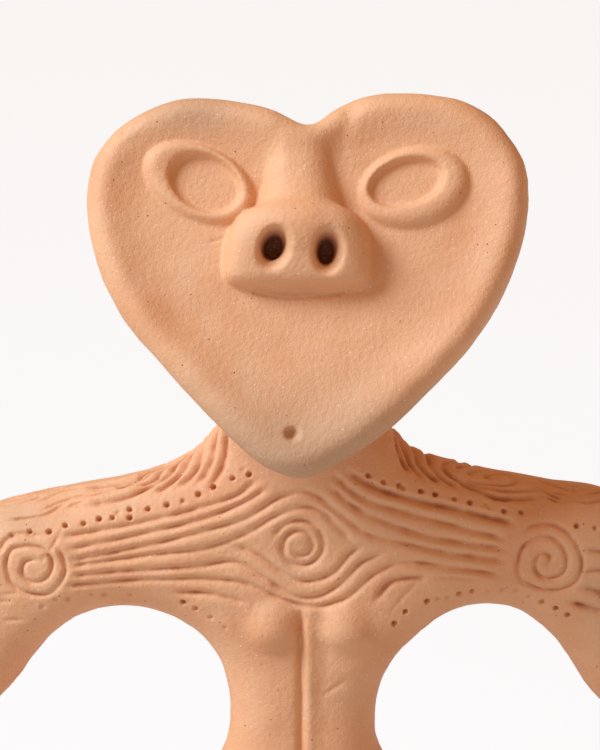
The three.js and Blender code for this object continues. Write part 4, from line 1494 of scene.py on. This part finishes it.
@dataclass(frozen=True)
class Graph:
    """The nodes of one finish, with short ways to add the kinds that are used here."""

    tree: bpy.types.NodeTree

    def put(self, value: object, socket: Socket) -> None:
        """Link a socket to an input, or set the input to a plain value.

        Args:
            value: A socket or a plain value.
            socket: The input that takes it.
        """
        if isinstance(value, bpy.types.NodeSocket):
            self.tree.links.new(value, socket)
        else:
            socket.default_value = value

    def add(self, kind: str, inputs: dict[str, object]) -> bpy.types.Node:
        """Add a node and fill its inputs by name.

        Args:
            kind: The node's kind.
            inputs: A socket or a plain value for each input.

        Returns:
            The node.
        """
        node = self.tree.nodes.new(kind)
        for name, value in inputs.items():
            self.put(value, node.inputs[name])
        return node

    def combine(self, operation: str, *values: object) -> Socket:
        """Combine sockets or numbers by a sum, a product or the like.

        Args:
            operation: The sum's kind.
            *values: Sockets or numbers, in order.

        Returns:
            The result.
        """
        node = self.tree.nodes.new("ShaderNodeMath")
        node.operation = operation
        for value, socket in zip(values, node.inputs):
            self.put(value, socket)
        return node.outputs[0]

    def remap(self, value: Socket, low: float, high: float, to_low: float = 0.0,
              to_high: float = 1.0) -> Socket:
        """Map a range of a value softly to another range, clamped.

        Args:
            value: The value.
            low: Where the range starts.
            high: Where it ends.
            to_low: What its start becomes.
            to_high: What its end becomes.

        Returns:
            The mapped value.
        """
        node = self.add("ShaderNodeMapRange", {
            "Value": value, "From Min": low, "From Max": high,
            "To Min": to_low, "To Max": to_high})
        node.interpolation_type = "SMOOTHSTEP"
        return node.outputs["Result"]

    def mix(self, share: Socket, under: object, above: Colour) -> Socket:
        """Lay one colour over another, a colour or a socket, by a share.

        Args:
            share: The share of the upper colour.
            under: The lower colour.
            above: The upper colour.

        Returns:
            The mixed colour.
        """
        node = self.add("ShaderNodeMix", {"Factor": share})
        node.data_type = "RGBA"
        is_socket = isinstance(under, bpy.types.NodeSocket)
        self.put(under if is_socket else (*under, 1), node.inputs[6])
        self.put((*above, 1), node.inputs[7])
        return node.outputs[2]


@dataclass(frozen=True)
class Terracotta:
    """Unglazed light orange clay with fine sand in it, matt, a little smoked on the chin and one
    arm, with painted shade in its cuts, its nostrils and two patches.
    """

    name: str = "terracotta"
    body: Colour = (0.78, 0.415, 0.198)
    warm: Colour = (0.73, 0.345, 0.152)
    pale: Colour = (0.78, 0.465, 0.265)
    # Painted shade: cut darkens the cuts, and deep the deepest cuts and the nostrils.
    cut: Colour = (0.50, 0.20, 0.095)
    deep: Colour = (0.12, 0.045, 0.025)
    # Greyish colour of the smoked parts, also laid on two patches as painted shade.
    smoke_and_shade: Colour = (0.46, 0.295, 0.16)
    speck: Colour = (0.93, 0.83, 0.72)
    pinhole: Colour = (0.26, 0.10, 0.05)
    roughness: float = 0.64
    specular: float = 0.5
    grain: float = 0.6
    grain_height: float = 0.0004

    def material(self) -> bpy.types.Material:
        """Build the clay's material.

        Tone drifts between three clays over broad noise. Sand shows as fine bump, pale specks and
        dark pinholes. The skin's own attributes bring painted shade into the cuts and nostrils, and
        the smoked chin and arm together with two patches of painted shade.

        Returns:
            The material.
        """
        material = bpy.data.materials.new(self.name)
        material.use_nodes = True
        graph = Graph(material.node_tree)
        nodes = material.node_tree.nodes
        nodes.clear()
        place = nodes.new("ShaderNodeTexCoord").outputs["Object"]

        def noise(scale: float, detail: float, roughness: float = 0.5) -> Socket:
            """Add noise of a scale per metre and give its value.

            Args:
                scale: Its scale per metre.
                detail: How many finer layers it has.
                roughness: How strong they are.

            Returns:
                Its value.
            """
            return graph.add("ShaderNodeTexNoise", {
                "Vector": place, "Scale": scale, "Detail": detail, "Roughness": roughness,
            }).outputs["Fac"]

        def dots(scale: float, radius: float, keep: float) -> Socket:
            """Scatter round dots, one in some of the cells of a Voronoi pattern.

            Args:
                scale: Cells per metre.
                radius: A dot's radius in cells.
                keep: The share of cells that get one.

            Returns:
                1 on a dot and 0 off it.
            """
            cells = graph.add("ShaderNodeTexVoronoi", {"Vector": place, "Scale": scale})
            near_dot = graph.remap(cells.outputs["Distance"], radius * 0.5, radius, 1.0, 0.0)
            parts = graph.add("ShaderNodeSeparateColor", {"Color": cells.outputs["Color"]})
            chosen = graph.remap(parts.outputs[0], keep, keep + 0.02, 1.0, 0.0)
            return graph.combine("MULTIPLY", near_dot, chosen)

        def attribute(name: str) -> Socket:
            """Read one of the skin's own values.

            Args:
                name: The attribute's name.

            Returns:
                Its value.
            """
            node = nodes.new("ShaderNodeAttribute")
            node.attribute_name = name
            return node.outputs["Fac"]

        colour = graph.mix(graph.remap(noise(38, 4), 0.42, 0.7), self.body, self.warm)
        colour = graph.mix(graph.remap(noise(90, 3), 0.52, 0.75, 0.0, 0.4), colour, self.pale)
        # The smoked chin and left arm, and painted shade on two patches.
        colour = graph.mix(attribute("smoke_and_shade"), colour, self.smoke_and_shade)
        # Painted shade: the cuts darken with their depth, the deepest cuts and the nostrils nearly
        # to black.
        cut_shade = attribute("cut")
        colour = graph.mix(graph.remap(cut_shade, 0.3, 1.4, 0.0, 0.55), colour, self.cut)
        colour = graph.mix(graph.remap(cut_shade, 1.5, 3.0, 0.0, 0.85), colour, self.deep)
        colour = graph.mix(graph.remap(noise(1500, 2), 0.5, 0.75, 0.0, 0.45), colour, self.warm)
        white, dark = dots(680, 0.12, 0.42), dots(430, 0.11, 0.16)
        colour = graph.mix(white, colour, self.speck)
        colour = graph.mix(dark, colour, self.pinhole)
        sand = graph.combine("MULTIPLY_ADD", noise(2300, 2, 0.6), 0.55, noise(700, 2))
        bump = graph.add("ShaderNodeBump", {
            "Strength": self.grain, "Distance": self.grain_height,
            "Height": graph.combine("SUBTRACT", sand, dark)})
        shader = graph.add("ShaderNodeBsdfPrincipled", {
            "Base Color": colour, "Roughness": self.roughness,
            "Specular IOR Level": self.specular, "Normal": bump.outputs["Normal"]})
        graph.add("ShaderNodeOutputMaterial", {"Surface": shader.outputs[0]})
        return material


def lay_skin(name: str, points: Array, faces: Array, values: dict[str, Array]) -> bpy.types.Object:
    """Put a net into the scene as one smooth-shaded object.

    Args:
        name: The object's name.
        points: Its points in metres.
        faces: Its triangles.
        values: The attributes that its points carry.

    Returns:
        The object.
    """
    mesh = bpy.data.meshes.new(name)
    mesh.vertices.add(len(points))
    mesh.loops.add(faces.size)
    mesh.polygons.add(len(faces))
    mesh.vertices.foreach_set("co", points.astype(np.float32).ravel())
    mesh.loops.foreach_set("vertex_index", faces.astype(np.int32).ravel())
    mesh.polygons.foreach_set("loop_start", np.arange(0, faces.size, 3, dtype=np.int32))
    mesh.polygons.foreach_set("use_smooth", np.ones(len(faces), bool))
    mesh.update(calc_edges=True)
    for key, value in values.items():
        attribute = mesh.attributes.new(key, "FLOAT", "POINT")
        attribute.data.foreach_set("value", value.astype(np.float32))
    piece = bpy.data.objects.new(name, mesh)
    bpy.context.scene.collection.objects.link(piece)
    return piece


@dataclass(frozen=True)
class Studio:
    """A pale floor, a large soft light from the upper left, a warm fill, and the camera.

    The strengths and colours of the light and the fill were matched to the clay's shading in the
    photograph, first by a fit and then one by one.
    """

    across: float = -0.8
    up: float = 221.2
    back: float = -1175.0
    lens: float = 196.0
    sensor: float = 36.0
    floor_size: float = 14.0
    key_spot: Point = (-1.45, -0.7, 1.64)
    key_size: float = 0.85
    key_power: float = 45.0
    key_colour: Colour = (0.91, 1.12, 1.42)
    chest: Point = (0.0, 0.0, 0.19)
    fill: float = 0.49
    fill_colour: Colour = (1.0, 0.58, 0.345)
    backdrop: Colour = (0.93, 0.93, 0.93)
    # The floor's glow, how far from the figure it starts and is full, and where behind it.
    glow: float = 0.855
    glow_from: float = 0.1
    glow_full: float = 0.36
    behind: Point = (-0.35, 0.33)
    floor_near: Colour = (0.66, 0.7, 0.72)
    floor_far: Colour = (0.1, 0.1, 0.1)

    def camera(self, placement: Placement) -> None:
        """Stand the camera at the photograph's angle, looking straight along the sheet's press.

        Args:
            placement: How the modeller's units become metres.
        """
        data = bpy.data.cameras.new("camera")
        data.lens, data.sensor_fit, data.sensor_height = self.lens, "VERTICAL", self.sensor
        data.clip_start, data.clip_end = 0.05, 50
        camera = bpy.data.objects.new("camera", data)
        spot = self.up * np.array(FRONT_UP) + self.back * np.array(FRONT_PRESS)
        spot[0] = self.across
        camera.location = placement.place(spot[None])[0]
        camera.rotation_euler = (math.pi / 2 - TILT, 0, 0)
        bpy.context.scene.collection.objects.link(camera)
        bpy.context.scene.camera = camera

    def key(self) -> None:
        """Hang a square soft light that looks at the figure's chest."""
        data = bpy.data.lights.new("key", "AREA")
        data.energy, data.size, data.color = self.key_power, self.key_size, self.key_colour
        lamp = bpy.data.objects.new("key", data)
        lamp.location = self.key_spot
        way = np.array(self.chest) - np.array(self.key_spot)
        flat = math.hypot(way[0], way[1])
        lamp.rotation_euler = (math.atan2(flat, -way[2]), 0, math.atan2(-way[0], way[1]))
        bpy.context.scene.collection.objects.link(lamp)

    def floor(self) -> None:
        """Lay the pale floor.

        It glows a little, so that it stays evenly pale. Near the figure the glow fades out and
        the floor takes the figure's shadow, and in front of it the glow is only for the eye, so
        that the figure is not lit from below.
        """
        half = self.floor_size / 2
        mesh = bpy.data.meshes.new("floor")
        corners = [(-half, -half, 0), (half, -half, 0), (half, half, 0), (-half, half, 0)]
        mesh.from_pydata(corners, [], [(0, 1, 2, 3)])
        floor = bpy.data.objects.new("floor", mesh)
        material = bpy.data.materials.new("floor")
        material.use_nodes = True
        graph = Graph(material.node_tree)
        nodes = material.node_tree.nodes
        place = nodes.new("ShaderNodeTexCoord").outputs["Object"]
        away = graph.add("ShaderNodeVectorMath", {"Vector": place})
        away.operation = "LENGTH"
        parts = graph.add("ShaderNodeSeparateXYZ", {"Vector": place})
        seen = nodes.new("ShaderNodeLightPath").outputs["Is Camera Ray"]
        lighting = graph.combine("MAXIMUM", seen, graph.remap(parts.outputs["Y"], *self.behind))
        clear = graph.remap(away.outputs["Value"], self.glow_from, self.glow_full)
        bright = graph.combine("MULTIPLY", clear, lighting)
        shader = nodes["Principled BSDF"]
        graph.put(graph.mix(bright, self.floor_near, self.floor_far), shader.inputs["Base Color"])
        graph.put(0.9, shader.inputs["Roughness"])
        graph.put((1, 1, 1, 1), shader.inputs["Emission Color"])
        glow = graph.combine("MULTIPLY", bright, self.glow)
        graph.put(glow, shader.inputs["Emission Strength"])
        mesh.materials.append(material)
        bpy.context.scene.collection.objects.link(floor)

    def room(self) -> None:
        """Fill the room with even warm light, and show it as a plain pale backdrop."""
        world = bpy.data.worlds.new("room")
        world.use_nodes = True
        graph = Graph(world.node_tree)
        nodes = world.node_tree.nodes
        fill = nodes["Background"]
        graph.put((*self.fill_colour, 1), fill.inputs["Color"])
        graph.put(self.fill, fill.inputs["Strength"])
        pale = graph.add("ShaderNodeBackground", {"Color": (*self.backdrop, 1)})
        both = nodes.new("ShaderNodeMixShader")
        seen = nodes.new("ShaderNodeLightPath").outputs["Is Camera Ray"]
        for value, socket in zip((seen, fill.outputs[0], pale.outputs[0]), both.inputs):
            graph.put(value, socket)
        graph.put(both.outputs[0], nodes["World Output"].inputs["Surface"])
        bpy.context.scene.world = world


def main() -> None:
    """Build the figurine, dress it, and light it."""
    figurine = Figurine()
    points, faces, cut = figurine.skin()
    placement = Placement.fit(points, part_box("heart_figurine"))
    # The cut value carries the painted shade of cuts and nostrils; the other the smoked parts and
    # two patches of painted shade.
    values = {"cut": cut, "smoke_and_shade": figurine.smoke_and_shade(points)}
    piece = lay_skin("clay_figurine", placement.place(points), faces, values)
    piece.data.materials.append(Terracotta().material())
    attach(piece, "root")
    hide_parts("heart_figurine")
    log.info("%s: %d triangles", piece.name, len(faces))
    studio = Studio()
    studio.camera(placement)
    studio.key()
    studio.floor()
    studio.room()
    bpy.context.scene.view_settings.view_transform = "Standard"


if __name__ == "__main__":
    logging.basicConfig(level=logging.INFO, format="%(name)s %(message)s")
    main()
